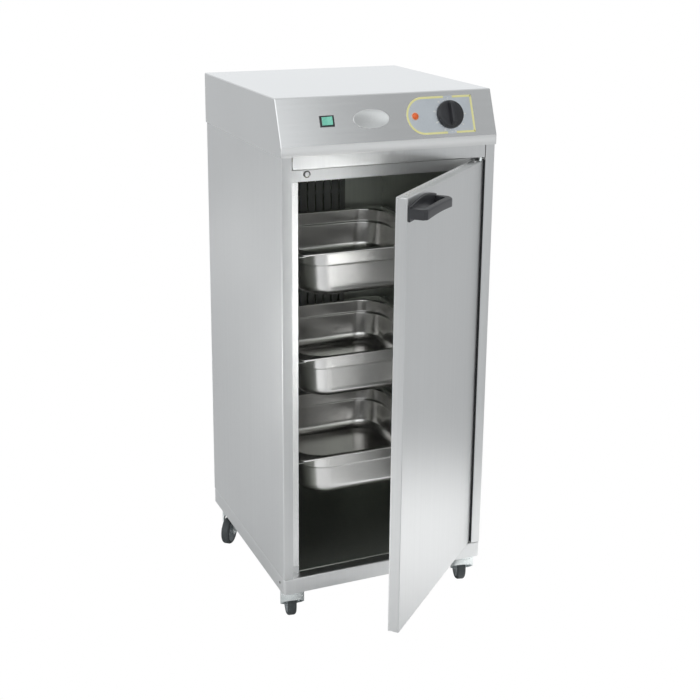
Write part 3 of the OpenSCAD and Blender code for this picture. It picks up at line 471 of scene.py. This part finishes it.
def hood():
    """The hood's sheet, with a lip of its own grain and slots in its back."""
    lo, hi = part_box("hood")
    outline = hood_outline()
    rows = [hi.z - VENT_DOWN + VENT_H / 2, hi.z - VENT_DOWN - VENT_H / 2]
    outline[4:4] = [(hi.y, z) for z in rows]
    count = len(outline)
    points = [(x, y, z) for x in (lo.x, hi.x) for y, z in outline]
    lip_fascia_top = [(i, i + 1, i + 1 + count, i + count) for i in range(3)]
    faces = lip_fascia_top + [tuple(range(count)), tuple(range(count, 2 * count))]
    upper, lower = [4], [5]
    for row, z in zip((upper, lower), rows):
        for i in range(VENTS):
            mid = (i - (VENTS - 1) / 2) * VENT_STEP
            for x in (mid - VENT_W / 2, mid + VENT_W / 2):
                row.append(len(points))
                points.append((x, hi.y, z))
    upper.append(4 + count)
    lower.append(5 + count)
    faces += [(3, *upper, 3 + count), (6, 6 + count, *reversed(lower))]
    for k in range(0, len(upper), 2):
        faces.append((upper[k], upper[k + 1], lower[k + 1], lower[k]))
    obj = shell("hood_sheet", points, faces, SHEET, FOLD, "hood", "cabinet", "steel_panel")
    obj.data.materials.append(mats["lip"])
    obj.data.polygons[0].material_index = 1
    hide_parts("hood")


# ---- pans ----

def round_ring(w, d, r, z, centre, steps=12):
    """A level ring, w along X and d along Y, with corners of radius r."""
    points = []
    for corner in range(4):
        sx = 1 if corner in (0, 3) else -1
        sy = 1 if corner < 2 else -1
        for i in range(steps + 1):
            a = math.pi / 2 * (corner + i / steps)
            points.append((centre.x + sx * (w / 2 - r) + r * math.cos(a),
                           centre.y + sy * (d / 2 - r) + r * math.sin(a), z))
    return points


def quarter(steps):
    """Sine and cosine from 0 to 90 degrees."""
    angles = [math.pi / 2 * i / steps for i in range(steps + 1)]
    return [(math.sin(a), math.cos(a)) for a in angles]


def pans():
    """The pans, pressed from sheet: rolled rim, wall with a shoulder, and a floor with a wide bend."""
    rim, lip, roll, fillet, shoulder, step = 13 * MM, 3 * MM, 2 * MM, 4 * MM, 29 * MM, 3 * MM
    draft, bend, wall_r, rim_r, sheet = 3.5 * MM, 24 * MM, 56 * MM, 12 * MM, 1 * MM
    for name in ("pan_top", "pan_middle", "pan_bottom"):
        lo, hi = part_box(name)
        size, centre, top = hi - lo, (hi + lo) / 2, hi.z
        floor = size.z - sheet
        rings = []

        def add(inset, drop, r):
            rings.append(round_ring(size.x - 2 * inset, size.y - 2 * inset, r, top - drop, centre))

        add(0, lip, rim_r)
        for s, c in quarter(6):
            add(roll * (1 - c), roll * (1 - s), rim_r - roll * (1 - c))
        for s, c in quarter(6):
            add(rim - fillet * (1 - s), fillet * (1 - c), wall_r + fillet * (1 - s))
        for s, c in quarter(5):
            add(rim + step * (1 - c) / 2, shoulder - step * (1 - s), wall_r)
        for s, c in quarter(5):
            add(rim + step * (1 + s) / 2, shoulder + step * (1 - c), wall_r)
        for i in range(1, 4):
            add(rim + step + draft * i / 4, shoulder + (floor - bend - shoulder) * i / 4, wall_r)
        for s, c in quarter(10):
            add(rim + step + draft + bend * (1 - c), floor - bend * (1 - s), wall_r - bend * (1 - c) / 2)
        points, faces = loft(rings, caps=False)
        count = len(rings[0])
        faces.append(tuple(range(len(points) - count, len(points))))
        obj = piece(name + "_pressing", points, faces, "pan", "cabinet", "bright_steel", 50)
        if obj.data.polygons[-1].normal.z < 0:
            obj.data.flip_normals()
        m = obj.modifiers.new("sheet", "SOLIDIFY")
        m.thickness = sheet
        m.offset = -1
        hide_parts(name)


# ---- door ----

# The door's turn from shut to the pose of the photograph.
HINGE = Vector(joints["door_swing"]["pos_m"])
SWING = Matrix.Rotation(-math.radians(joints["door_swing"]["range_deg"][0]), 4, "Z")
OPEN = Matrix.Translation(HINGE) @ SWING @ Matrix.Translation(-HINGE)


def shut_box(name):
    """The box of a door node with the door shut."""
    back = OPEN.inverted()
    points = [back @ v.co for v in nodes[name].data.vertices]
    return (Vector([min(p[i] for p in points) for i in range(3)]),
            Vector([max(p[i] for p in points) for i in range(3)]))


def door_skin():
    """The door's outer skin: its face, deep side folds and shallow folds at top and bottom."""
    lo, hi = shut_box("door_skin")
    end_fold, corner = 13 * MM, 1.8 * MM
    depths = (lo.y, lo.y + end_fold, hi.y)
    points = [OPEN @ Vector((x, y, z)) for x in (lo.x, hi.x) for z in (lo.z, hi.z) for y in depths]
    faces = [(0, 3, 9, 6), (0, 1, 2, 5, 4, 3), (6, 7, 8, 11, 10, 9), (0, 1, 7, 6), (3, 4, 10, 9)]
    obj = shell("door_skin_sheet", points, faces, SHEET, corner, "door", "door", "steel_panel")
    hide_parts("door_skin")


def box(lo, hi):
    """Points and faces of a straight box."""
    points = [(x, y, z) for x in (lo[0], hi[0]) for y in (lo[1], hi[1]) for z in (lo[2], hi[2])]
    return points, [(0, 1, 3, 2), (4, 5, 7, 6), (0, 1, 5, 4), (2, 3, 7, 6), (0, 2, 6, 4), (1, 3, 7, 5)]


def turned(profile, steps, place):
    """A turned solid; profile is a list of (radius, height), place(u, v, w) gives the point."""
    rings = []
    turns = [2 * math.pi * i / steps for i in range(steps)]
    for r, h in profile:
        r = max(r, 0.01 * MM)
        rings.append([place(r * math.cos(t), r * math.sin(t), h) for t in turns])
    return loft(rings)


def rounded(profile, radius, steps=4):
    """A polyline of (u, v) with its inner corners rounded."""
    out = [profile[0]]
    for a, b, c in zip(profile, profile[1:], profile[2:]):
        a, b, c = complex(*a), complex(*b), complex(*c)
        u, v = (a - b) / abs(a - b), (c - b) / abs(c - b)
        reach = min(radius, abs(a - b) * 0.49, abs(c - b) * 0.49)
        p, q = b + u * reach, b + v * reach
        for i in range(steps + 1):
            t = i / steps
            w = (1 - t) ** 2 * p + 2 * t * (1 - t) * b + t * t * q
            out.append((w.real, w.imag))
    out.append(profile[-1])
    return out


def rounded_loop(corners, radius, steps=4):
    """A closed outline with its corners rounded."""
    ring = rounded([corners[-1]] + list(corners) + [corners[0]], radius, steps)
    return ring[1:-1]


# ---- base ----

def base():
    """The base pressing with its band and flange, the strips behind the jambs, and a side screw."""
    lo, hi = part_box("base_frame")
    corner, wall, flange, plate_t = 6 * MM, 1.5 * MM, 45 * MM, 2 * MM
    plate_z = lo.z + plate_t
    band_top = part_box("left_side_panel")[0].z
    size = hi - lo
    centre = (lo + hi) / 2

    def ring(inset, z):
        r = max(corner - inset, 1 * MM)
        return round_ring(size.x - 2 * inset, size.y - 2 * inset, r, z, centre, 6)

    rings = [ring(wall, plate_z + wall), ring(wall, band_top - wall), ring(flange, band_top - wall),
             ring(flange, band_top)]
    for i in range(6):
        a = math.pi / 2 * i / 5
        rings.append(ring(FOLD * (1 - math.sin(a)), band_top - FOLD * (1 - math.cos(a))))
    rings += [ring(0, lo.z), ring(wall, lo.z), ring(wall, plate_z)]
    parts = [loft(rings)]
    stop_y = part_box("stop_rail")[0].y
    for name, inside in (("left_jamb", SHEET), ("right_jamb", 0)):
        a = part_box(name)[0].x + inside
        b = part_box(name)[1].x + inside - SHEET
        parts.append(box((a, stop_y, band_top), (b, stop_y + SHEET, hi.z)))
    obj = piece("base_pressing", *join(*parts), "panel", "cabinet", "steel_panel")
    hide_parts("base_frame")
    head_r, head_h = 2.6 * MM, 1.6 * MM
    screw_y, screw_z = lo.y + 22 * MM, band_top - 14 * MM
    head = rounded([(0, 0), (head_r, 0), (head_r, 1 * MM), (0, head_h)], 0.5 * MM)
    screw = turned(head, 20, lambda u, v, w: (lo.x - w + 0.2 * MM, screw_y + u, screw_z + v))
    piece("base_side_screw", *screw, "magnet", "cabinet", "zinc")


# ---- controls on the fascia ----

def fascia(u, v, w):
    """A point on the fascia: u along X, v up the slope from the row of controls, w out of the sheet."""
    return Vector((u, KNOB.y, KNOB.z)) + UP * v + OUT * w


def on_fascia_box(name):
    """Lowest and highest (u, v, w) of a node in the fascia's frame."""
    rows = [(p.co.x, (p.co - KNOB).dot(UP), (p.co - KNOB).dot(OUT)) for p in nodes[name].data.vertices]
    return [min(r[i] for r in rows) for i in range(3)], [max(r[i] for r in rows) for i in range(3)]


def knob():
    """The knob's disc and the bowed grip across it."""
    lo, hi = on_fascia_box("control_knob")
    r = (hi[0] - lo[0]) / 2
    foot, top = lo[2], hi[2]
    disc, bevel = foot + 9 * MM, 4.5 * MM
    side = rounded([(0, foot), (r - 1 * MM, foot), (r, foot + 1.6 * MM), (r - 2 * MM, disc - 1 * MM),
                    (r - bevel, disc), (0, disc + 0.6 * MM)], 1.6 * MM, 5)
    body = turned(side, 72, lambda u, v, w: fascia(KNOB.x + u, v, w))
    obj = piece("knob_disc", *body, "black", "knob", "black_plastic", 40)
    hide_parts("control_knob")
    half, reach, taper = 5 * MM, r - bevel, 0.86
    rings = []
    for t in [i / 24 for i in range(25)]:
        v = -reach + 2 * reach * t
        end = math.sqrt(max(0, 1 - (2 * t - 1) ** 6))
        high = disc + (top - disc) * (0.12 + 0.88 * end)
        w = half * (0.75 + 0.25 * end)
        face = rounded([(-w, disc - 1 * MM), (-w * taper, high - 0.5 * MM), (0, high),
                        (w * taper, high - 0.5 * MM), (w, disc - 1 * MM)], 1.4 * MM, 4)
        rings.append([fascia(KNOB.x + a, v, b) for a, b in face])
    grip = piece("knob_grip", *loft(rings), "black", "knob", "black_plastic", 50)
    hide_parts("control_knob")


# Each digit as strokes on a grid 1 wide and 2 high.
STROKES = {
    "0": [[(0, 0), (1, 0), (1, 2), (0, 2), (0, 0)]],
    "1": [[(0.2, 1.5), (0.7, 2), (0.7, 0)]],
    "2": [[(0, 2), (1, 2), (1, 1), (0, 1), (0, 0), (1, 0)]],
    "3": [[(0, 2), (1, 2), (1, 0), (0, 0)], [(0.2, 1), (1, 1)]],
    "4": [[(0, 2), (0, 1), (1, 1)], [(1, 2), (1, 0)]],
    "5": [[(1, 2), (0, 2), (0, 1), (1, 1), (1, 0), (0, 0)]],
    "6": [[(1, 2), (0, 2), (0, 0), (1, 0), (1, 1), (0, 1)]],
    "7": [[(0, 2), (1, 2), (0.4, 0)]],
    "8": [[(0, 0), (1, 0), (1, 2), (0, 2), (0, 0)], [(0, 1), (1, 1)]],
    "9": [[(0, 0), (1, 0), (1, 2), (0, 2), (0, 1), (1, 1)]],
}


def printed(polyline, width, low, high):
    """A printed line on the fascia, w from low to high."""
    parts = []
    for (a, b), (c, d) in zip(polyline, polyline[1:]):
        along = complex(c - a, d - b)
        along /= abs(along)
        n, e = along * 1j * width / 2, along * width / 2
        ends = [complex(a, b) - e + n, complex(c, d) + e + n, complex(c, d) + e - n, complex(a, b) - e - n]
        parts.append(loft([[fascia(q.real, q.imag, w) for q in ends] for w in (low, high)]))
    return parts


def band_on_fascia(outline, width, low, high):
    """A flat band along an open outline, which is its outer edge and has the band on its left."""
    path = [complex(*p) for p in outline]
    rings = []
    for i, p in enumerate(path):
        before, after = path[max(i - 1, 0)], path[min(i + 1, len(path) - 1)]
        along = after - before
        n = along / abs(along) * 1j
        if 0 < i < len(path) - 1:
            u, v = p - before, after - p
            n = n / max(0.5, abs(math.cos(abs(math.atan2((v / u).imag, (v / u).real)) / 2)))
        q = p + n * width
        rings.append([fascia(p.real, p.imag, low), fascia(p.real, p.imag, high),
                      fascia(q.real, q.imag, high), fascia(q.real, q.imag, low)])
    return loft(rings)


LABELS = ["0", "30", "40", "50", "60", "70", "80", "90"]
LABEL_SPAN = math.radians(270)


def dial():
    """What is printed round the knob: a border with two gaps, numbers, ticks, and the lamp's rim."""
    lo, hi = on_fascia_box("dial_plate")
    r = (hi[1] - lo[1]) / 2
    ink = 0.1 * MM
    field = hi[2] - 0.2 * MM
    high = hi[2] + 0.06 * MM
    top = field + ink / 2
    gap, width = 9.5 * MM, 4 * MM
    corner = 1.2 * MM
    left = [(KNOB.x - gap, r)]
    for i in range(33):
        a = math.pi / 2 + math.pi * i / 32
        left.append((lo[0] + r + r * math.cos(a), r * math.sin(a)))
    left.append((KNOB.x - gap, -r))
    right = [(KNOB.x + gap, -r), (hi[0], -r), (hi[0], r), (KNOB.x + gap, r)]
    right = rounded(right, corner, 4)
    parts = [band_on_fascia(path, width, field - ink, high) for path in (left, right)]
    piece("dial_outline", *join(*parts), "yellow", "cabinet", "aluminium", 20)
    marks = []
    knob_r = on_fascia_box("control_knob")[1][0] - KNOB.x
    scale_r, tick_r = knob_r + 5.4 * MM, knob_r + 1.9 * MM
    size, stroke_w = 1.25 * MM, 0.6 * MM
    for k, label in enumerate(LABELS):
        a = math.pi / 2 + LABEL_SPAN * k / (len(LABELS) - 1)
        shift = -size * (len(label) * 1.5 - 0.5) / 2
        at = (KNOB.x + scale_r * math.cos(a), scale_r * math.sin(a))
        for digit in label:
            for stroke in STROKES[digit]:
                line = [(at[0] + shift + size * x, at[1] + size * (y - 1)) for x, y in stroke]
                marks += printed(line, stroke_w, field - ink, top)
            shift += size * 1.6
    half, tick_w = 0.5 * MM, 1.1 * MM
    for k in range(2 * len(LABELS) - 1):
        a = math.pi / 2 + LABEL_SPAN * k / (2 * len(LABELS) - 2)
        at = (KNOB.x + tick_r * math.cos(a), tick_r * math.sin(a))
        marks += printed([(at[0] - half, at[1]), (at[0] + half, at[1])], tick_w, field - ink, top)
    half = 1.5 * MM
    for end in (r - width, -r):
        mark = [(KNOB.x - half, end), (KNOB.x + half, end),
                (KNOB.x + half, end + width), (KNOB.x - half, end + width)]
        marks.append(loft([[fascia(u, v, w) for u, v in mark] for w in (field - ink, top)]))
    piece("dial_print", *join(*marks), "ink", "cabinet", "aluminium", 20)
    lamp_lo, lamp_hi = on_fascia_box("indicator_lamp")
    mid, rim = (lamp_lo[0] + lamp_hi[0]) / 2, (lamp_hi[0] - lamp_lo[0]) / 2 + 1 * MM
    side = rounded([(rim - 1.9 * MM, field - 0.2 * MM), (rim, field - 0.2 * MM),
                    (rim - 0.2 * MM, field + 0.9 * MM), (rim - 1.9 * MM, field + 1.2 * MM)], 0.4 * MM)
    piece("lamp_bezel", *turned(side, 48, lambda u, v, w: fascia(mid + u, v, w)),
          "lamp_rim", "cabinet", "aluminium", 40)


def badge():
    """The bare oval plate with its thin raised rim; its half axes are the photograph's."""
    lo, hi = on_fascia_box("badge_plate")
    a, b, mid = 37 * MM, 18.5 * MM, (hi[0] + lo[0]) / 2
    profile = [(1, -0.05 * MM), (1, 0.5 * MM), (0.985, 0.8 * MM), (0.965, hi[2]), (0.95, hi[2]),
               (0.93, 0.75 * MM)]
    shape = turned(profile, 96, lambda u, v, w: fascia(mid + a * u, b * v, w))
    obj = piece("badge_oval", *shape, "badge", "cabinet", "aluminium", 40)
    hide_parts("badge_plate")


# ---- door handle ----

def handle():
    """The arched shield on the door and the bridge grip in front of it."""
    lo, hi = shut_box("door_handle")
    screw_lo, screw_hi = shut_box("handle_screws")
    length, out = hi.x - lo.x, hi.y - lo.y
    mid_z = (screw_lo.z + screw_hi.z) / 2
    shield_t, grip_t, half = 4 * MM, 10 * MM, 9.5 * MM
    leg, arch, lean = 13 * MM, hi.z - mid_z - 11.1 * MM, 1.27
    low = lo.z

    def place(x, y, z):
        return OPEN @ Vector((lo.x + x, hi.y - y, z))

    top = hi.z - arch
    outline = [(2 * MM, low), (0, low + 3 * MM), (0, top)]
    for i in range(1, 24):
        t = i / 24
        outline.append((length * t, top + arch * math.sin(math.pi * t ** lean)))
    outline += [(length, top), (length, low + 3 * MM), (length - 2 * MM, low)]
    shape = loft([[place(x, y, z) for x, z in outline] for y in (0, shield_t)])
    shield = piece("handle_shield", *shape, "handle", "door", "black_plastic", 30)
    soften(shield, 1.3 * MM, 3)
    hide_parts("door_handle")

    def section(x, y0, y1, drop, rise):
        """The grip's section at x: from y0 to y1 out of the door, its top edge in front chamfered."""
        c = 3 * MM
        z0, z1 = mid_z - half + drop, mid_z + half - rise
        loop = [(y0, z0), (y1, z0), (y1, z1 - c), (y1 - c, z1), (y0, z1)]
        return [place(x, y, z) for y, z in rounded_loop(loop, 1.2 * MM, 3)]

    rings = []
    steps, end_l, end_out = 28, 7 * MM, 6 * MM
    for i in range(steps + 1):
        t = i / steps
        x = length * t
        bow = math.sin(math.pi * t)
        end = min(1, min(x, length - x) / end_l)
        front = out - end_out * (1 - math.sqrt(1 - (1 - end) ** 2))
        inner = out - grip_t
        if x < leg or x > length - leg:
            inner = shield_t - 1 * MM
        rings.append(section(x, inner, front, 2.4 * MM * bow, 1.2 * MM * (1 - bow)))
    grip = piece("handle_grip", *loft(rings), "handle", "door", "black_plastic", 35)
    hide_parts("door_handle")


# ---- catch ----

def magnet():
    """A light pole face inside a dark arc that is open below; the arc is painted shade over the catch's
    upper part.
    """
    lo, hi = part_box("catch_magnet")
    r = (hi.x - lo.x) / 2
    mid_x, mid_z = (lo.x + hi.x) / 2, (lo.z + hi.z) / 2
    face, back = lo.y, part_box("stop_rail")[0].y
    inner = r * 0.66
    shade_arc_start, shade_arc_span, steps = -24, 228, 32

    def place(u, v, w):
        return mid_x + u, w, mid_z + v

    side = rounded([(0, back + 2 * MM), (inner, back + 2 * MM), (inner, face + 0.6 * MM),
                    (0, face + 0.4 * MM)], 0.8 * MM)
    obj = piece("magnet_pole", *turned(side, 40, place), "pole", "cabinet", "magnet", 40)
    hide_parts("catch_magnet")
    # Painted shade: a dark arc round the upper part of the pole face only.
    rings = []
    for i in range(steps + 1):
        a = math.radians(shade_arc_start + shade_arc_span * i / steps)
        c, s = math.cos(a), math.sin(a)
        hoop = rounded_loop([(inner, face + 0.3 * MM), (r, face + 0.3 * MM), (r, back + 0.2 * MM),
                             (inner, back + 0.2 * MM)], 0.7 * MM, 3)
        rings.append([place(q * c, q * s, y) for q, y in hoop])
    obj = piece("magnet_painted_shade_arc", *loft(rings), "magnet", "cabinet", "magnet", 40)
    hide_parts("catch_magnet")


# ---- painted shade in the hinge gap ----

def hinge_gap_shade():
    """A black strip on the hinge side of the doorway, as tall as the door and clear of its sweep; it is
    painted shade for the dark gap beside the open door.
    """
    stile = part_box("right_side_panel")[0]
    strip_t = 1 * MM
    start, end = stile.y + 1.5 * MM, stile.y + 22 * MM
    door_lo, door_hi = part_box("door_skin")
    loop = rounded_loop([(stile.x - strip_t, start), (stile.x, start), (stile.x, end),
                         (stile.x - strip_t, end)], 0.3 * MM, 3)
    shape = extruded(loop, door_lo.z, door_hi.z, lambda u, v, w: (u, v, w))
    # Painted shade: a black strip standing for the shade in the gap between the door and the stile.
    piece("hinge_gap_painted_shade", *shape, "black", "cabinet", "black_plastic", 40)


# ---- floor, lights and world ----

FLOOR_REACH = 30
FLOOR_GREY = 0.74

# World seen by the steel: a dim surround that brightens upwards, and soft panels given as
# azimuth from and to, to the right of the front, height from and to, softness, all in degrees,
# and added level.
WORLD_LOW = 0.44
WORLD_HIGH = 0.84
SKY_RISE = (0.6, 1.2)
PANELS = [
    (-135, 24.6, 4, 45, 1.2, 0.62),
    (-85, -50, 12, 45, 8, 0.9),
    (20, 60, -8, 13, 3, 0.4),
    (31, 60, 17, 45, 4, 0.1),
    (120, 185, -5, 40, 6, 0.5),
    (-185, -150, -5, 40, 6, 0.35),
]

# Soft pools of light on the floor, which the steel mirrors: name, lamp, aim, cone and power.
POOLS = [
    ("door_pool", (0.9, -0.6, 1.2), (0.45, -0.25, 0), 50, 68),
    ("front_pool", (-1.1, -1.1, 1.5), (-0.7, -0.7, 0), 45, 60),
    ("left_pool", (-2.4, 0.6, 2.0), (-2.0, 0.57, 0), 50, 1000),
    ("stile_pool", (0.5, -2.7, 2.2), (0.5, -2.1, 0), 60, 30),
    ("rear_pool", (-1.8, 3.3, 2.0), (-1.4, 2.9, 0), 60, 40),
]


def floor():
    """A floor that the camera sees as white and the steel as lit pale grey."""
    mesh = bpy.data.meshes.new("floor")
    corners = [(-1, -1), (1, -1), (1, 1), (-1, 1)]
    mesh.from_pydata([(FLOOR_REACH * x, FLOOR_REACH * y, 0) for x, y in corners], [], [(0, 1, 2, 3)])
    obj = bpy.data.objects.new("floor", mesh)
    bpy.context.scene.collection.objects.link(obj)
    material = bpy.data.materials.new("floor_white")
    material.use_nodes = True
    tree = material.node_tree
    tree.nodes.clear()
    lit = tree.nodes.new("ShaderNodeBsdfDiffuse")
    lit.inputs["Color"].default_value = colour(FLOOR_GREY)
    white = tree.nodes.new("ShaderNodeEmission")
    mix = tree.nodes.new("ShaderNodeMixShader")
    tree.links.new(tree.nodes.new("ShaderNodeLightPath").outputs["Is Camera Ray"], mix.inputs[0])
    tree.links.new(lit.outputs[0], mix.inputs[1])
    tree.links.new(white.outputs[0], mix.inputs[2])
    tree.links.new(mix.outputs[0], tree.nodes.new("ShaderNodeOutputMaterial").inputs[0])
    mesh.materials.append(material)


def surround():
    """The world: white to the camera, and to the object the studio of WORLD_LOW to PANELS."""
    world = bpy.data.worlds.new("studio")
    world.use_nodes = True
    bpy.context.scene.world = world
    tree = world.node_tree
    tree.nodes.clear()

    def node(kind, **settings):
        made = tree.nodes.new("ShaderNode" + kind)
        for key, value in settings.items():
            setattr(made, key, value)
        return made

    def feed(value, socket):
        if isinstance(value, (int, float)):
            socket.default_value = value
        else:
            tree.links.new(value, socket)

    def maths(kind, a, b=0.0):
        made = node("Math", operation=kind)
        feed(a, made.inputs[0])
        feed(b, made.inputs[1])
        return made.outputs[0]

    def step(value, start, end):
        """0 below start, 1 above end, smooth between."""
        made = node("MapRange", interpolation_type="SMOOTHSTEP")
        for socket, v in zip(made.inputs[:5], (value, start, end, 0.0, 1.0)):
            feed(v, socket)
        return made.outputs[0]

    way = node("SeparateXYZ")
    tree.links.new(node("TexCoord").outputs["Generated"], way.inputs[0])
    x, y, z = way.outputs
    azimuth = maths("ARCTAN2", x, maths("MULTIPLY", y, -1.0))
    height = maths("ARCSINE", z)
    level = maths("ADD", WORLD_LOW, maths("MULTIPLY", step(height, *SKY_RISE), WORLD_HIGH - WORLD_LOW))
    for (from_a, to_a, from_h, to_h, soft, value) in PANELS:
        inside = value
        for angle, start, end in ((azimuth, from_a, to_a), (height, from_h, to_h)):
            rise = step(angle, math.radians(start - soft), math.radians(start + soft))
            fall = step(angle, math.radians(end - soft), math.radians(end + soft))
            inside = maths("MULTIPLY", inside, maths("SUBTRACT", rise, fall))
        level = maths("ADD", level, inside)
    studio = node("Background")
    feed(level, studio.inputs["Strength"])
    white = node("Background")
    path = node("LightPath")
    mix = node("MixShader")
    tree.links.new(path.outputs["Is Camera Ray"], mix.inputs[0])
    tree.links.new(studio.outputs[0], mix.inputs[1])
    tree.links.new(white.outputs[0], mix.inputs[2])
    tree.links.new(mix.outputs[0], node("OutputWorld").inputs[0])
    white.inputs["Color"].default_value = (1, 1, 1, 1)
    studio.inputs["Color"].default_value = (0.96, 0.98, 1, 1)


def lamps():
    for name, at, to, cone, power in POOLS:
        light = bpy.data.lights.new(name, "SPOT")
        light.energy, light.spot_size, light.spot_blend = power, math.radians(cone), 1
        light.shadow_soft_size = 0.2
        obj = bpy.data.objects.new(name, light)
        obj.location = at
        obj.rotation_euler = (Vector(to) - Vector(at)).to_track_quat("-Z", "Y").to_euler()
        obj.visible_glossy = False
        bpy.context.scene.collection.objects.link(obj)


make_camera()
dress_cad()
side_panels()
top_rail()
hood()
pans()
door_skin()
base()
knob()
dial()
badge()
handle()
magnet()
hinge_gap_shade()
floor()
surround()
lamps()

bpy.context.scene.view_settings.view_transform = "Standard"
